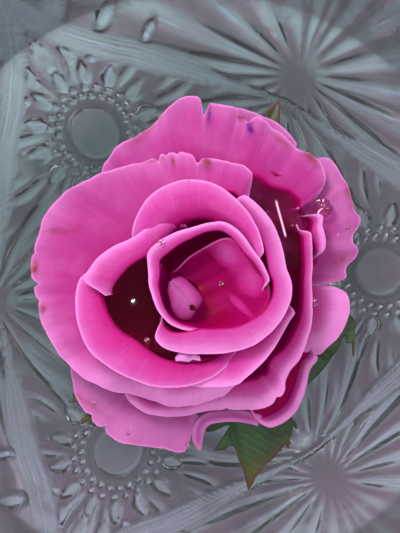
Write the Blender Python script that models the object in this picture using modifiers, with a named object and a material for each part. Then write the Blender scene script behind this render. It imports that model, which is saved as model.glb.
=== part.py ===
"""A rose floating in a round pressed-glass bowl of water. Metres, +Z up, foot of the bowl on z = 0."""

import math

import bmesh
import bpy
import numpy as np
from mathutils import Vector

MM = 0.001
NAME = "rose_floating_in_bowl"
POINTS_PER_SPAN = 12
SHARP_ANGLE_DEG = 40

# Bowl, in millimetres
INNER_WALL = ((0, 6), (30, 6), (40, 7.4), (50, 12.6), (60, 20.2), (70, 28.6), (80, 37.2), (91, 46),
              (98, 53), (105, 62), (111.5, 71.5), (117, 80.5))
WALL_THICKNESS = 4.4
SLOPE_REACH = 1.5
FOOT_EDGE = ((42.0, 0.0), (43.7, 1.1))
FOOT_CLEAR = 2.5
SCALLOPS = 24
SCALLOP_RISE = 1.6
BOWL_STEPS = 120
WALL_RINGS_OUTSIDE = 12
WALL_RINGS_INSIDE = (0, 36, 44, 53, 62, 72, 82, 91, 98, 107, 117)
RIM_OUT = (0.3, 1.8)
RIM_TOP = (1.6, 0.9)
SCALLOP_SPREAD = 0.9
RIM_ZONE = (106, 10)

# Relief on the outside of the bowl, one third of it: an arch on its axis between two stars
ARCH_AXIS_DEG = 124.2
STAR = (57.6, 33.2)
ARCH_SIDE = (STAR, (47.2, 46.6), (40.1, 55.4), (27.3, 71), (18.2, 79.5), (9.5, 89.4), (3.5, 99), (0, 107))
BAND_HALF_WIDTH = 3.9
BAND_START = 0.25
BAND_OPENING = 2.5
BAND_EDGE = 0.35
MEDALLION_CENTRE = (0.0, 60.5)
MEDALLION_RADIUS = 7.8
MEDALLION_RELIEF = 0.8
MEDALLION_RING = 1.6
RELIEF = 1.9
RAY_RELIEF = 0.6
STAR_RAYS = 5
STAR_REACH = 14.0
RELIEF_SKIN = (1.0, 2.5)
RELIEF_FOOT = (2.5, 4.0)
RELIEF_RIM = (3.0, 6.0)

# Water and where the rose floats in it
WATER_LEVEL = 46.0
GAP = 0.3
WATER_STEPS = 40
WELL_STEPS = 24
WELL = ((34, 0.0), (31.5, -3.4), (22, -9.2), (9.5, -21), (5.5, -27), (5.5, -34.6), (0, -34.6))
BLOOM_AXIS = (-0.5, 1.15)
BUD_AXIS = (-3.5, -4.15)

# Heart of the bloom, hip and stem, as reach and rise above the water
HEART = ((0, 11), (5, 10.5), (9, 8), (10.5, 1), (9.5, -4), (8, -7), (6, -9.7), (0, -9.7))
HIP = ((0, -10), (6.4, -10), (7.4, -12.5), (7, -17), (4.2, -22.5), (2.6, -25.5), (2.4, -34), (0, -34))
HEART_STEPS = 24

PETAL_THICKNESS = 0.9
BUD_STEP = 3.4
BUD_TURN = 36
BUD_THICKNESS = 0.7
BELLY_SHARE = 0.52
PETAL_STEP = 8
PETAL_TURN = 24
CORNER = 5.0
CORNER_DROP = 0.18
CREST_SHARE = 0.35
FOOT_SPREAD = 0.72

# Each petal from the outside in. Its rim runs through azimuth in degrees, reach from the axis and rise above the
# water in millimetres. The lip is how far the rim stands out over the waist, from one end of the rim to the other,
# the drop is how far the waist lies below the rim, the crest how far the lip arches above it, and the bulge how far
# the belly stands out past the waist. The foot is a reach and a rise inside the heart.
PETALS = {
    "floor": dict(
        rim=((211, 44, 2.6), (218, 49, 2.8), (230, 53, 2.8), (245, 54.5, 3), (258, 52.5, 3), (269, 51.5, 3.8),
             (275, 48, 6)),
        lip=(16, 19, 15), drop=0.6, crest=0.5, bulge=-12, belly=0.78, foot=(7, -6.5)),
    "right_lower": dict(
        rim=((325, 42, 3.8), (333, 46, 4.4), (341, 48.3, 4.6), (349, 48.6, 4.6), (357, 47.5, 4.3), (364, 45, 3.8)),
        lip=(14, 16, 14), drop=1.2, crest=0.5, bulge=-12, belly=0.78, foot=(7, -6.5)),
    "right_upper": dict(
        rim=((359, 45, 5), (365, 47.5, 5.8), (371, 50.5, 6.2), (380, 53.5, 6.4), (390, 55, 6.8), (399, 56, 6.8),
             (406, 54, 6.2), (411, 50, 5.6)),
        lip=(14, 18, 14), drop=1.4, crest=0.6, bulge=-13, belly=0.78, foot=(7, -6)),
    "top_back": dict(
        rim=((409, 51, 6.6), (420, 54, 7.2), (431, 55, 7.6), (441, 54, 7.6), (449, 50.5, 7.2)),
        lip=(12, 15, 12), drop=1.5, crest=0.5, bulge=-12, belly=0.78, foot=(7, -5.5)),
    "right_corner": dict(
        rim=((289, 43, 5), (296, 49, 5.6), (303, 50.8, 6.2), (311, 49, 6.8), (318, 46, 6.8), (325, 44, 6.2),
             (334, 42, 5)),
        lip=(7, 8, 6), drop=2.4, crest=0.9, bulge=-18, belly=0.8, foot=(7, -5.5)),
    "top": dict(
        rim=((33, 45, 10), (38, 51, 11), (45, 52.5, 11.2), (53, 50.8, 11.4), (61, 51.6, 11.8), (69, 54, 11.8),
             (82, 54, 12), (93, 56, 12), (101, 52, 12), (110, 47.8, 11.8), (121, 47, 11), (129, 44.5, 10),
             (135, 41.5, 9)),
        lip=(11, 15, 9), drop=3.2, crest=1.4, bulge=-10, foot=(7, -4.5)),
    "curl": dict(
        rim=((270, 43, 8.6), (276, 41.5, 10), (283, 40.4, 10.4), (290, 41, 10.2), (298, 42, 9)),
        lip=(4, 4, 4), drop=3.5, crest=0.6, bulge=-12, belly=0.7, foot=(7, -4.5)),
    "under_lower": dict(
        rim=((229, 40, 9), (240, 41.5, 9.6), (250, 42.5, 9.8), (262, 41, 10), (273, 39.5, 10.4), (282, 37, 10.6)),
        lip=(6, 7, 5), drop=4, crest=0.6, bulge=-7, foot=(7, -4)),
    "big_left": dict(
        rim=((57, 34.5, 16), (66, 37.3, 17), (82, 37.2, 17), (97, 39, 16.4), (110, 39, 15.8), (122, 41, 14.8),
             (134, 44.3, 14), (146, 47.3, 13), (157, 50, 12), (167, 50, 11.2), (178, 50.3, 11), (188, 48.5, 11),
             (194, 46.5, 10.6)),
        lip=(6, 8, 12, 18, 17), drop=1.2, crest=1.6, bulge=-3, foot=(7, -3)),
    "big_lower": dict(
        rim=((186, 45.5, 11.6), (194, 47.6, 12), (204, 47.6, 12.2), (215, 45.6, 12.6), (228, 42.5, 13.4),
             (241, 38.8, 14.4), (254, 38.4, 15.2), (268, 36.8, 15.8), (283, 35, 16.4), (298, 32.5, 16.6)),
        lip=(15, 13, 7, 7, 5), drop=2.2, crest=1.2, bulge=-2, foot=(7, -2.5)),
    "right_strip": dict(
        rim=((345, 38.6, 12.6), (355, 37.8, 14.2), (366, 38.2, 15), (374, 40.2, 15.6), (382, 42, 15.4),
             (391, 42.4, 14.6), (396, 41, 13.4)),
        lip=(3, 4, 3), drop=4.5, crest=0.5, bulge=-4, foot=(7, -2)),
    "right_inner": dict(
        rim=((275, 37.5, 13.6), (285, 39.5, 14.6), (296, 42, 15.2), (304, 43, 15.4), (312, 41, 15.8),
             (322, 39.6, 16.6), (333, 38.6, 17.2), (345, 36.8, 17.8), (358, 35.3, 18), (372, 35.8, 18),
             (385, 37.3, 18), (397, 38.3, 16.6)),
        lip=(8, 9, 7, 3.5, 3), drop=4.5, crest=0.7, bulge=-1, foot=(7, -1.5)),
    "lower_right": dict(
        rim=((261, 28.5, 23), (271, 30.4, 24.4), (285, 31.2, 25.4), (299, 32, 26), (314, 31.2, 26),
             (329, 31.2, 26), (341, 31, 25.2), (351, 29.6, 23.8)),
        lip=(3, 4, 4), drop=5, crest=0.6, bulge=0, foot=(7, 0)),
    "lower_left": dict(
        rim=((183, 31, 26.4), (190, 34.6, 28), (199, 36.4, 28.6), (210, 36.5, 28.6), (224, 35.1, 28.4),
             (240, 33.1, 28), (256, 31.8, 27.5), (272, 29.6, 26.8), (287, 27.3, 26), (301, 25, 25)),
        lip=(5, 7, 7, 5), drop=5.5, crest=0.9, bulge=0.5, foot=(7, 0.5)),
    "left_fold": dict(
        rim=((87, 17.6, 27.4), (101, 18.8, 28.8), (116, 20, 29.8), (131, 21.3, 30.4), (145, 23.2, 30.8),
             (156, 25.6, 30.8), (166, 28.4, 30.4), (176, 31, 29.8), (184, 32.6, 29), (190, 32.6, 27.8)),
        lip=(2.5, 4, 6.5, 6), drop=6, crest=0.9, bulge=0.5, foot=(7, 1)),
    "crown": dict(
        rim=((14, 21, 29.6), (27, 22.2, 31.4), (40, 23.6, 32.2), (55, 25.6, 33), (69, 27.7, 33.2), (82, 29.2, 33.2),
             (95, 29.7, 33.2), (107, 29.3, 33), (119, 28.2, 32.4), (131, 27, 31.2), (142, 26.4, 29.6),
             (151, 26, 27.4)),
        lip=(3, 6, 8, 7, 5), drop=6, crest=0.8, bulge=1, foot=(7, 1.5)),
    "sweep": dict(
        rim=((226, 18, 25.6), (234, 20, 27.4), (244, 21, 29), (258, 21, 29.8), (274, 20.8, 30), (289, 21.8, 30),
             (304, 23.6, 30.3), (319, 25.5, 30.7), (333, 27, 31), (347, 28, 31), (359, 27.8, 31), (370, 26.7, 31),
             (383, 27.2, 31), (397, 28.2, 31), (411, 29, 30.8), (422, 29.2, 29.6), (430, 28.6, 28)),
        lip=(4.5, 5.5, 5.5, 5.5, 5, 3), drop=6.5, crest=1, bulge=1, foot=(7, 2.5)),
    "cup_top": dict(
        rim=((350, 20.6, 26.8), (362, 21.2, 29.2), (374, 20.5, 30.6), (391, 19.3, 31.4), (409, 19, 32),
             (426, 18.4, 32), (442, 16.7, 32), (460, 15.7, 32), (479, 15.6, 31.6), (496, 16, 31), (510, 15.6, 29.8),
             (520, 14, 28.2)),
        lip=(2.5, 3, 3, 3), drop=6, crest=0.6, bulge=1, foot=(6.5, 4)),
    "cup_left": dict(
        rim=((147, 14.6, 28.8), (159, 14.2, 30), (172, 13.3, 30), (186, 13.1, 30), (201, 13, 29.5), (216, 13, 29),
             (232, 13.5, 28.5), (248, 14, 28), (265, 14.6, 27.5), (283, 15.6, 26.8)),
        lip=(2.4, 2.8, 2.6), drop=6, crest=0.5, bulge=0.6, foot=(6.5, 4.5)),
    "inner_right": dict(
        rim=((-48, 12, 20.5), (-30, 14, 22.6), (-8, 15.4, 24.4), (16, 15.2, 25.6), (40, 14, 26.4), (66, 12.6, 26.4),
             (92, 11, 25)),
        lip=(2.5, 3.5, 2.5), drop=5, crest=0.4, bulge=0.6, foot=(6, 5.5)),
    "inner_left": dict(
        rim=((108, 9.6, 24.4), (130, 9.4, 25.6), (156, 9.2, 26), (184, 9.4, 25.6), (212, 9.9, 24.8), (240, 10.6, 23.6),
             (262, 11, 22)),
        lip=(1.6, 2, 1.6), drop=4.5, crest=0.4, bulge=0.4, foot=(6, 6)),
}
BUD_PETALS = {
    "bud_right": dict(
        rim=((-84, 4.4, 20.6), (-55, 4.9, 22.8), (-20, 5, 24), (20, 4.8, 24.4), (60, 4.7, 24.2), (98, 4.4, 23),
             (126, 4, 21.4)),
        lip=(1, 1.4, 1), drop=3.5, crest=0.3, bulge=0.3, foot=(2.8, 8)),
    "bud_left": dict(
        rim=((88, 3.6, 22), (122, 3.9, 23.4), (160, 4, 24), (200, 4, 24), (240, 3.8, 23.2), (272, 3.4, 21.6)),
        lip=(0.8, 1.2, 0.8), drop=3.5, crest=0.3, bulge=0.3, foot=(2.4, 9)),
    "bud_eye": dict(
        rim=((-130, 1.9, 21.4), (-70, 2, 22.6), (-10, 2.1, 23.2), (50, 2, 23.2), (110, 1.9, 22.4), (160, 1.8, 21.2)),
        lip=(0.5, 0.6, 0.5), drop=3, crest=0.2, bulge=0.2, foot=(1.6, 9.5)),
}

# Sepals: azimuth in degrees, reach of the tip, half width, and reach of the widest place
SEPALS = ((285.5, 66.0, 10.5, 47), (65, 63.0, 4.6, 44), (224, 54.5, 5.0, 40), (331, 55.5, 8.5, 45), (145, 46, 4.5, 34))
SEPAL_THICKNESS = 0.7
SEPAL_ROOT = (5.0, -11.6)
SEPAL_SLOPE = 0.468
SEPAL_RISE = 0.85
SEPAL_ROWS = 14
ROOT_HALF_WIDTH = 2.6
TIP_HALF_WIDTH = 0.45
TOOTH_DEPTH = 0.22
TEETH_FROM = 0.55
TEETH_GROW = 0.15

COLOURS = {
    "bowl": ((0.33, 0.37, 0.41, 1), 0.05),
    "water": ((0.42, 0.47, 0.5, 1), 0.03),
    "bloom": ((0.68, 0.07, 0.34, 1), 0.5),
    "calyx": ((0.04, 0.07, 0.02, 1), 0.55),
}


def clear_scene():
    for obj in list(bpy.data.objects):
        bpy.data.objects.remove(obj, do_unlink=True)


def collection_named(name):
    made = bpy.data.collections.new(name)
    bpy.context.scene.collection.children.link(made)
    return made


def material_for(node):
    colour, roughness = COLOURS[node]
    material = bpy.data.materials.new(node)
    material.use_nodes = True
    shader = material.node_tree.nodes["Principled BSDF"]
    shader.inputs["Base Color"].default_value = colour
    shader.inputs["Roughness"].default_value = roughness
    shader.inputs["Metallic"].default_value = 0
    material.diffuse_color = colour
    return material


def finished_object(name, bm, home):
    """The bmesh, still in millimetres, as an object in metres with its own smooth shading."""
    bmesh.ops.scale(bm, vec=(MM, MM, MM), verts=bm.verts)
    mesh = bpy.data.meshes.new(name)
    bm.to_mesh(mesh)
    bm.free()
    mesh.shade_smooth()
    mesh.set_sharp_from_angle(angle=math.radians(SHARP_ANGLE_DEG))
    obj = bpy.data.objects.new(name, mesh)
    home.objects.link(obj)
    return obj


def smooth_line(points, count):
    """Evenly spaced points on a smooth curve through the given ones."""
    knots = np.array(points, float)
    ends = np.vstack([2 * knots[0] - knots[1], knots, 2 * knots[-1] - knots[-2]])
    fine = []
    for i in range(1, len(ends) - 2):
        before, start, end, after = ends[i - 1:i + 3]
        for t in np.arange(POINTS_PER_SPAN) / POINTS_PER_SPAN:
            fine.append(0.5 * (2 * start + (end - before) * t + (2 * before - 5 * start + 4 * end - after) * t**2
                               + (3 * start - before - 3 * end + after) * t**3))
    fine = np.array(fine + [knots[-1]])
    along = np.concatenate([[0], np.cumsum(np.linalg.norm(np.diff(fine, axis=0), axis=1))])
    wanted = np.linspace(0, along[-1], count)
    return np.stack([np.interp(wanted, along, fine[:, k]) for k in range(knots.shape[1])], axis=1)


def smooth_step(x):
    x = min(1.0, max(0.0, x))
    return x * x * (3 - 2 * x)


def spun(profile, steps, centre=(0, 0)):
    """A bmesh turned round the vertical through the centre, from reach and height points, with its poles closed."""
    bm = bmesh.new()
    verts = [bm.verts.new((centre[0] + reach, centre[1], height)) for reach, height in profile]
    edges = [bm.edges.new(pair) for pair in zip(verts, verts[1:])]
    bmesh.ops.spin(bm, geom=verts + edges, cent=(centre[0], centre[1], 0), axis=(0, 0, 1),
                   angle=math.tau, steps=steps, use_merge=True, use_duplicate=False)
    bmesh.ops.remove_doubles(bm, verts=bm.verts, dist=0.001)
    bmesh.ops.recalc_face_normals(bm, faces=bm.faces)
    return bm


# The bowl

WALL_LINE = smooth_line(INNER_WALL, 200)


def inner_height(reach):
    """Height of the bowl's inner face at this reach."""
    return float(np.interp(reach, WALL_LINE[:, 0], WALL_LINE[:, 1]))


def wall_slope(reach):
    return (inner_height(reach + SLOPE_REACH) - inner_height(reach - SLOPE_REACH)) / (2 * SLOPE_REACH)


ARCH_LINE = smooth_line(ARCH_SIDE, 60)


def band_distance(across, along):
    """Distance from the arch's side, and the place along it from its star at 0 to its tip at 1."""
    away = np.hypot(ARCH_LINE[:, 0] - across, ARCH_LINE[:, 1] - along)
    nearest = int(away.argmin())
    return float(away[nearest]), nearest / (len(ARCH_LINE) - 1)


def relief_at(x, y):
    """How far the outside of the bowl stands out at this place of its plan."""
    turned = math.degrees(math.atan2(y, x)) - ARCH_AXIS_DEG
    folded = abs((turned + 60) % 120 - 60)
    reach = math.hypot(x, y)
    across, along = reach * math.sin(math.radians(folded)), reach * math.cos(math.radians(folded))
    away, place = band_distance(across, along)
    half = BAND_HALF_WIDTH * (BAND_START + (1 - BAND_START) * smooth_step(place * BAND_OPENING))
    band = math.cos(math.pi / 2 * away / half) if away < half else 0
    out_of_star = (across - STAR[0], along - STAR[1])
    from_star = math.hypot(*out_of_star)
    turn = math.atan2(out_of_star[1], out_of_star[0]) - math.atan2(STAR[1], STAR[0])
    rays = abs(math.cos(STAR_RAYS * turn)) * smooth_step(from_star / STAR_REACH)
    medallion = math.dist((across, along), MEDALLION_CENTRE)
    if medallion < MEDALLION_RADIUS:
        return RELIEF * MEDALLION_RELIEF
    if medallion < MEDALLION_RADIUS * MEDALLION_RING:
        return 0
    if away < half:
        return RELIEF * (BAND_EDGE + (1 - BAND_EDGE) * band)
    return RELIEF * RAY_RELIEF * rays


def make_bowl(home):
    inner = [(reach, inner_height(reach)) for reach in WALL_RINGS_INSIDE]
    outer = []
    for reach in np.linspace(FOOT_EDGE[-1][0] + FOOT_CLEAR, INNER_WALL[-1][0] - 0.5, WALL_RINGS_OUTSIDE):
        slope = wall_slope(min(reach, INNER_WALL[-1][0] - 2))
        length = math.hypot(1, slope)
        outer.append((reach + WALL_THICKNESS * slope / length, inner_height(reach) - WALL_THICKNESS / length))
    rim = [(outer[-1][0] + RIM_OUT[0], outer[-1][1] + RIM_OUT[1]),
           (INNER_WALL[-1][0] + RIM_TOP[0], INNER_WALL[-1][1] + RIM_TOP[1])]
    profile = [(0, 0), *FOOT_EDGE, *outer, *rim, *inner[::-1]]
    bm = spun(profile, BOWL_STEPS)
    highest = INNER_WALL[-1][1]
    for vert in bm.verts:
        reach = math.hypot(vert.co.x, vert.co.y)
        if reach < 1:
            continue
        below = float(inner_height(min(reach, INNER_WALL[-1][0]))) - vert.co.z
        outside = smooth_step((below - RELIEF_SKIN[0]) / RELIEF_SKIN[1])
        outside *= smooth_step((vert.co.z - RELIEF_FOOT[0]) / RELIEF_FOOT[1])
        outside *= smooth_step((highest - RELIEF_RIM[0] - vert.co.z) / RELIEF_RIM[1])
        slope = wall_slope(min(reach, INNER_WALL[-1][0] - 2))
        push = outside * relief_at(vert.co.x, vert.co.y)
        radial = Vector((vert.co.x, vert.co.y, 0)) / reach
        azimuth = math.atan2(vert.co.y, vert.co.x)
        scallop = 0.5 + 0.5 * math.cos(SCALLOPS * azimuth)
        near_rim = smooth_step((reach - RIM_ZONE[0]) / RIM_ZONE[1])
        vert.co += (radial * slope - Vector((0, 0, 1))) * (push / math.hypot(1, slope))
        vert.co += (radial * SCALLOP_SPREAD + Vector((0, 0, 1))) * (SCALLOP_RISE * near_rim * scallop)
    return finished_object("bowl", bm, home)


# The water

def make_water(home):
    """Fills the bowl to its level, clear of the glass, with a turned well for what hangs below the bloom."""
    side = [(0, inner_height(0) + GAP)]
    for reach in WALL_RINGS_INSIDE[1:]:
        if inner_height(reach) < WATER_LEVEL - 2:
            slope = wall_slope(reach)
            length = math.hypot(1, slope)
            side.append((reach - GAP * slope / length, inner_height(reach) + GAP / length))
    edge = float(np.interp(WATER_LEVEL, WALL_LINE[:, 1], WALL_LINE[:, 0]))
    side.append((edge - GAP * 1.1, WATER_LEVEL))
    side.append((0, WATER_LEVEL))
    return finished_object("water", spun(side, WATER_STEPS), home)


def make_well(cutters):
    """The cutter for the well, reaching above the water."""
    above = 4.0
    profile = [(0, WATER_LEVEL + above), (WELL[0][0], WATER_LEVEL + above)]
    profile += [(reach, WATER_LEVEL + rise) for reach, rise in WELL]
    bm = spun(profile, WELL_STEPS, BLOOM_AXIS)
    cutter = finished_object("well_cutter", bm, cutters)
    cutter.hide_render = True
    cutter.display_type = "WIRE"
    return cutter


# The bloom

def lip_at(lip, share):
    return float(np.interp(share, np.linspace(0, 1, len(lip)), lip))


def petal_profile(petal, reach, rise, share):
    """Reach and rise from the petal's foot over its belly and waist to its rim, where the rim is at reach and rise."""
    lip = lip_at(petal["lip"], share)
    foot = np.array(petal["foot"], float)
    waist = np.array((reach - lip, rise - petal["drop"]))
    belly = np.array((waist[0] + petal["bulge"], foot[1] + petal.get("belly", BELLY_SHARE) * (waist[1] - foot[1])))
    crest = np.array((reach - CREST_SHARE * lip, rise + petal["crest"]))
    return np.array((foot, belly, waist, crest, (reach, rise)))


def make_petal(name, petal, axis, home, step=PETAL_STEP, turn_step=PETAL_TURN, thickness=PETAL_THICKNESS):
    """A grid bent over the rings of its profile, one row of faces between each two, and given its thickness."""
    rim = np.array(petal["rim"], float)
    flat = np.stack([rim[:, 1] * np.cos(np.radians(rim[:, 0])), rim[:, 1] * np.sin(np.radians(rim[:, 0]))], axis=1)
    length = np.linalg.norm(np.diff(flat, axis=0), axis=1).sum()
    scale = length / (rim[-1, 0] - rim[0, 0])
    columns = max(6, round(length / step), round(length / scale / turn_step))
    rim = smooth_line(rim * (scale, 1, 1), columns + 1) / (scale, 1, 1)
    middle = rim[:, 0].mean()
    lines = [petal_profile(petal, reach, rise, k / columns) for k, (_, reach, rise) in enumerate(rim)]
    rows = len(lines[0]) - 1
    bm = bmesh.new()
    bmesh.ops.create_grid(bm, x_segments=columns, y_segments=rows, size=0.5)
    for vert in bm.verts:
        share = vert.co.x + 0.5
        column = round(share * columns)
        azimuth = rim[column][0]
        from_end = min(share, 1 - share) * length
        rounded = 1 - CORNER_DROP * (1 - smooth_step(from_end / CORNER))
        height = (vert.co.y + 0.5) * rounded
        out, up = (np.interp(height * rows, range(rows + 1), lines[column][:, k]) for k in (0, 1))
        spread = FOOT_SPREAD + (1 - FOOT_SPREAD) * smooth_step(height * 2)
        turn = math.radians(middle + (azimuth - middle) * spread)
        vert.co = (axis[0] + out * math.cos(turn), axis[1] + out * math.sin(turn), WATER_LEVEL + up)
    bmesh.ops.triangulate(bm, faces=bm.faces)
    obj = finished_object(name, bm, home)
    solidify = obj.modifiers.new("thickness", "SOLIDIFY")
    solidify.thickness = thickness * MM
    solidify.offset = 0
    solidify.use_even_offset = False
    return obj


def keep_largest_shell(mesh):
    """Drops loose scraps, and fills each hollow that the union sealed by dropping its inner shell."""
    bm = bmesh.new()
    bm.from_mesh(mesh)
    left, shells = set(bm.faces), []
    while left:
        shell, edge_of_search = set(), [left.pop()]
        while edge_of_search:
            face = edge_of_search.pop()
            shell.add(face)
            near = {other for edge in face.edges for other in edge.link_faces} & left
            left -= near
            edge_of_search += near
        shells.append(shell)
    shells.sort(key=len)
    bmesh.ops.delete(bm, geom=[face for shell in shells[:-1] for face in shell], context="FACES")
    bm.to_mesh(mesh)
    bm.free()


def fuse(core, repeats):
    """Joins a collection of repeats to the core in one union, applies it and removes the repeats."""
    union = core.modifiers.new("grown_together", "BOOLEAN")
    union.operation = "UNION"
    union.operand_type = "COLLECTION"
    union.collection = repeats
    union.solver = "MANIFOLD"
    graph = bpy.context.evaluated_depsgraph_get()
    graph.update()
    joined = bpy.data.meshes.new_from_object(core.evaluated_get(graph))
    core.modifiers.clear()
    keep_largest_shell(joined)
    core.data = joined
    for obj in list(repeats.objects):
        bpy.data.objects.remove(obj, do_unlink=True)
    bpy.data.collections.remove(repeats)
    joined.shade_smooth()
    joined.set_sharp_from_angle(angle=math.radians(SHARP_ANGLE_DEG))


def make_bloom(home):
    heart = spun([(reach, WATER_LEVEL + rise) for reach, rise in HEART[::-1]], HEART_STEPS, BLOOM_AXIS)
    bloom = finished_object("bloom", heart, home)
    petals = collection_named("petals")
    for name, petal in PETALS.items():
        make_petal(name, petal, BLOOM_AXIS, petals)
    for name, petal in BUD_PETALS.items():
        make_petal(name, petal, BUD_AXIS, petals, BUD_STEP, BUD_TURN, BUD_THICKNESS)
    fuse(bloom, petals)
    return bloom


# The calyx

def sepal_half_width(share, widest_share, widest):
    """Half width of a sepal from its root at 0 to its tip at 1, with forward-pointing teeth on its outer part."""
    if share < widest_share:
        body = ROOT_HALF_WIDTH + (widest - ROOT_HALF_WIDTH) * smooth_step(share / widest_share) ** 1.5
    else:
        body = widest * (1 - (share - widest_share) / (1 - widest_share)) ** 0.9
    tooth = (share * SEPAL_ROWS) % 2 < 1
    deep = TOOTH_DEPTH * smooth_step((share - widest_share * TEETH_FROM) / TEETH_GROW)
    return max(TIP_HALF_WIDTH, body * (1 + (deep if tooth else -deep)))


def make_sepal(index, home):
    azimuth, tip, widest, widest_reach = SEPALS[index]
    bm = bmesh.new()
    bmesh.ops.create_grid(bm, x_segments=4, y_segments=SEPAL_ROWS, size=0.5)
    turn = math.radians(azimuth)
    for vert in bm.verts:
        side, share = vert.co.x * 2, vert.co.y + 0.5
        reach = SEPAL_ROOT[0] + (tip - SEPAL_ROOT[0]) * share
        half = sepal_half_width(share, (widest_reach - SEPAL_ROOT[0]) / (tip - SEPAL_ROOT[0]), widest)
        up = min(SEPAL_ROOT[1] + SEPAL_SLOPE * (reach - SEPAL_ROOT[0]), SEPAL_RISE)
        across = side * half
        vert.co = (BLOOM_AXIS[0] + reach * math.cos(turn) - across * math.sin(turn),
                   BLOOM_AXIS[1] + reach * math.sin(turn) + across * math.cos(turn),
                   WATER_LEVEL + up)
    bmesh.ops.triangulate(bm, faces=bm.faces)
    obj = finished_object(f"sepal_{index}", bm, home)
    solidify = obj.modifiers.new("thickness", "SOLIDIFY")
    solidify.thickness = SEPAL_THICKNESS * MM
    solidify.offset = 0
    return obj


def make_calyx(home):
    hip = spun([(reach, WATER_LEVEL + rise) for reach, rise in HIP[::-1]], HEART_STEPS, BLOOM_AXIS)
    calyx = finished_object("calyx", hip, home)
    sepals = collection_named("sepals")
    for index in range(len(SEPALS)):
        make_sepal(index, sepals)
    fuse(calyx, sepals)
    return calyx


def main():
    clear_scene()
    home = collection_named(NAME)
    cutters = collection_named("cutters")
    bowl = make_bowl(home)
    water = make_water(home)
    bloom = make_bloom(home)
    calyx = make_calyx(home)
    hollow = water.modifiers.new("well", "BOOLEAN")
    hollow.operation = "DIFFERENCE"
    hollow.object = make_well(cutters)
    hollow.solver = "EXACT"
    for obj in (bowl, water, bloom, calyx):
        obj.data.materials.clear()
        obj.data.materials.append(material_for(obj.name))


main()
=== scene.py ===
import math
import random
import bmesh
import bpy
import numpy as np
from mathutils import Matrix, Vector
from mathutils.bvhtree import BVHTree


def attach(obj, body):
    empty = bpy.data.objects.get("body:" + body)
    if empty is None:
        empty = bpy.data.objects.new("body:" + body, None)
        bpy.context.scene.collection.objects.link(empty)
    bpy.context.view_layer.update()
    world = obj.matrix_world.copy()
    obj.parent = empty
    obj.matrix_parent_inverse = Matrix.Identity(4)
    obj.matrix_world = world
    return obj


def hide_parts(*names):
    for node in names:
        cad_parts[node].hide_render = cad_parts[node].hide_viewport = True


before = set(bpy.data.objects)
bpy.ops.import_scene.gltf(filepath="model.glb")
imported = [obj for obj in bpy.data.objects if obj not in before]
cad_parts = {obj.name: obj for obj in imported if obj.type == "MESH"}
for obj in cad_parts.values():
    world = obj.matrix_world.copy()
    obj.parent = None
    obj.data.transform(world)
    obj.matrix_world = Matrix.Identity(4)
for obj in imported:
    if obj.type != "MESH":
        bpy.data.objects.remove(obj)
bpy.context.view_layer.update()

# All sizes below are millimetres in the frame's axes, turned into metres when a mesh is finished
mm = 0.001
waterLevel = 46.0
bloomAxis = (-0.5, 1.15)


# Shader expressions

class Wire:
    # wraps one socket, so that sums and products of sockets add their own Math nodes
    def __init__(self, tree, socket=None):
        self.tree = tree
        self.socket = socket

    def node(self, kind, settings=None, values=None, out=0):
        made = self.tree.nodes.new(kind)
        for key, value in (settings or {}).items():
            setattr(made, key, value)
        for key, value in (values or {}).items():
            if isinstance(value, Wire):
                self.tree.links.new(value.socket, made.inputs[key])
            else:
                made.inputs[key].default_value = value
        return Wire(self.tree, made.outputs[out])

    def maths(self, operation, *values):
        return self.node("ShaderNodeMath", {"operation": operation}, dict(enumerate(values)))

    def __add__(self, other):
        return self.maths("ADD", self, other)

    def __radd__(self, other):
        return self.maths("ADD", other, self)

    def __sub__(self, other):
        return self.maths("SUBTRACT", self, other)

    def __rsub__(self, other):
        return self.maths("SUBTRACT", other, self)

    def __mul__(self, other):
        return self.maths("MULTIPLY", self, other)

    def __rmul__(self, other):
        return self.maths("MULTIPLY", other, self)

    def __pow__(self, other):
        return self.maths("POWER", self, other)

    def clipped(self):
        return self.maths("MINIMUM", self.maths("MAXIMUM", self, 0.0), 1.0)

    def between(self, low, high):
        # 0 below low, 1 above high, smooth in between
        return self.node("ShaderNodeMapRange", {"interpolation_type": "SMOOTHSTEP"},
                         {"Value": self, "From Min": low, "From Max": high})


def linear(red, green, blue):
    # display values from 0 to 255 as the linear colour that a shader takes
    shares = (red / 255, green / 255, blue / 255)
    return tuple(c / 12.92 if c <= 0.04045 else ((c + 0.055) / 1.055) ** 2.4 for c in shares)


def mixed(wire, share, first, second, blend="MIX"):
    first = (*first, 1) if isinstance(first, tuple) else first
    second = (*second, 1) if isinstance(second, tuple) else second
    values = {0: share, 6: first, 7: second}
    return wire.node("ShaderNodeMix", {"data_type": "RGBA", "blend_type": blend}, values, out=2)


def attributes(wire, *names):
    return [wire.node("ShaderNodeAttribute", {"attribute_name": name}, out=2) for name in names]


def noise(wire, place, scale, detail=2.0, roughness=0.5, distortion=0.0):
    return wire.node("ShaderNodeTexNoise", values={"Vector": place, "Scale": scale, "Detail": detail,
                                                   "Roughness": roughness, "Distortion": distortion})


def newMaterial(name, **constants):
    material = bpy.data.materials.new(name)
    material.use_nodes = True
    tree = material.node_tree
    shader = tree.nodes["Principled BSDF"]
    for key, value in constants.items():
        shader.inputs[key.replace("_", " ")].default_value = value
    wire = Wire(tree)
    return material, wire, shader, wire.node("ShaderNodeTexCoord", out=3)


def feed(wire, shader, socketName, source):
    wire.tree.links.new(source.socket, shader.inputs[socketName])


def bumped(wire, shader, height, strength, distance):
    values = {"Strength": strength, "Distance": distance, "Height": height}
    feed(wire, shader, "Normal", wire.node("ShaderNodeBump", values=values))


# Mesh helpers

crease = math.radians(30)     # edges that turn more than this stay crisp


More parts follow.
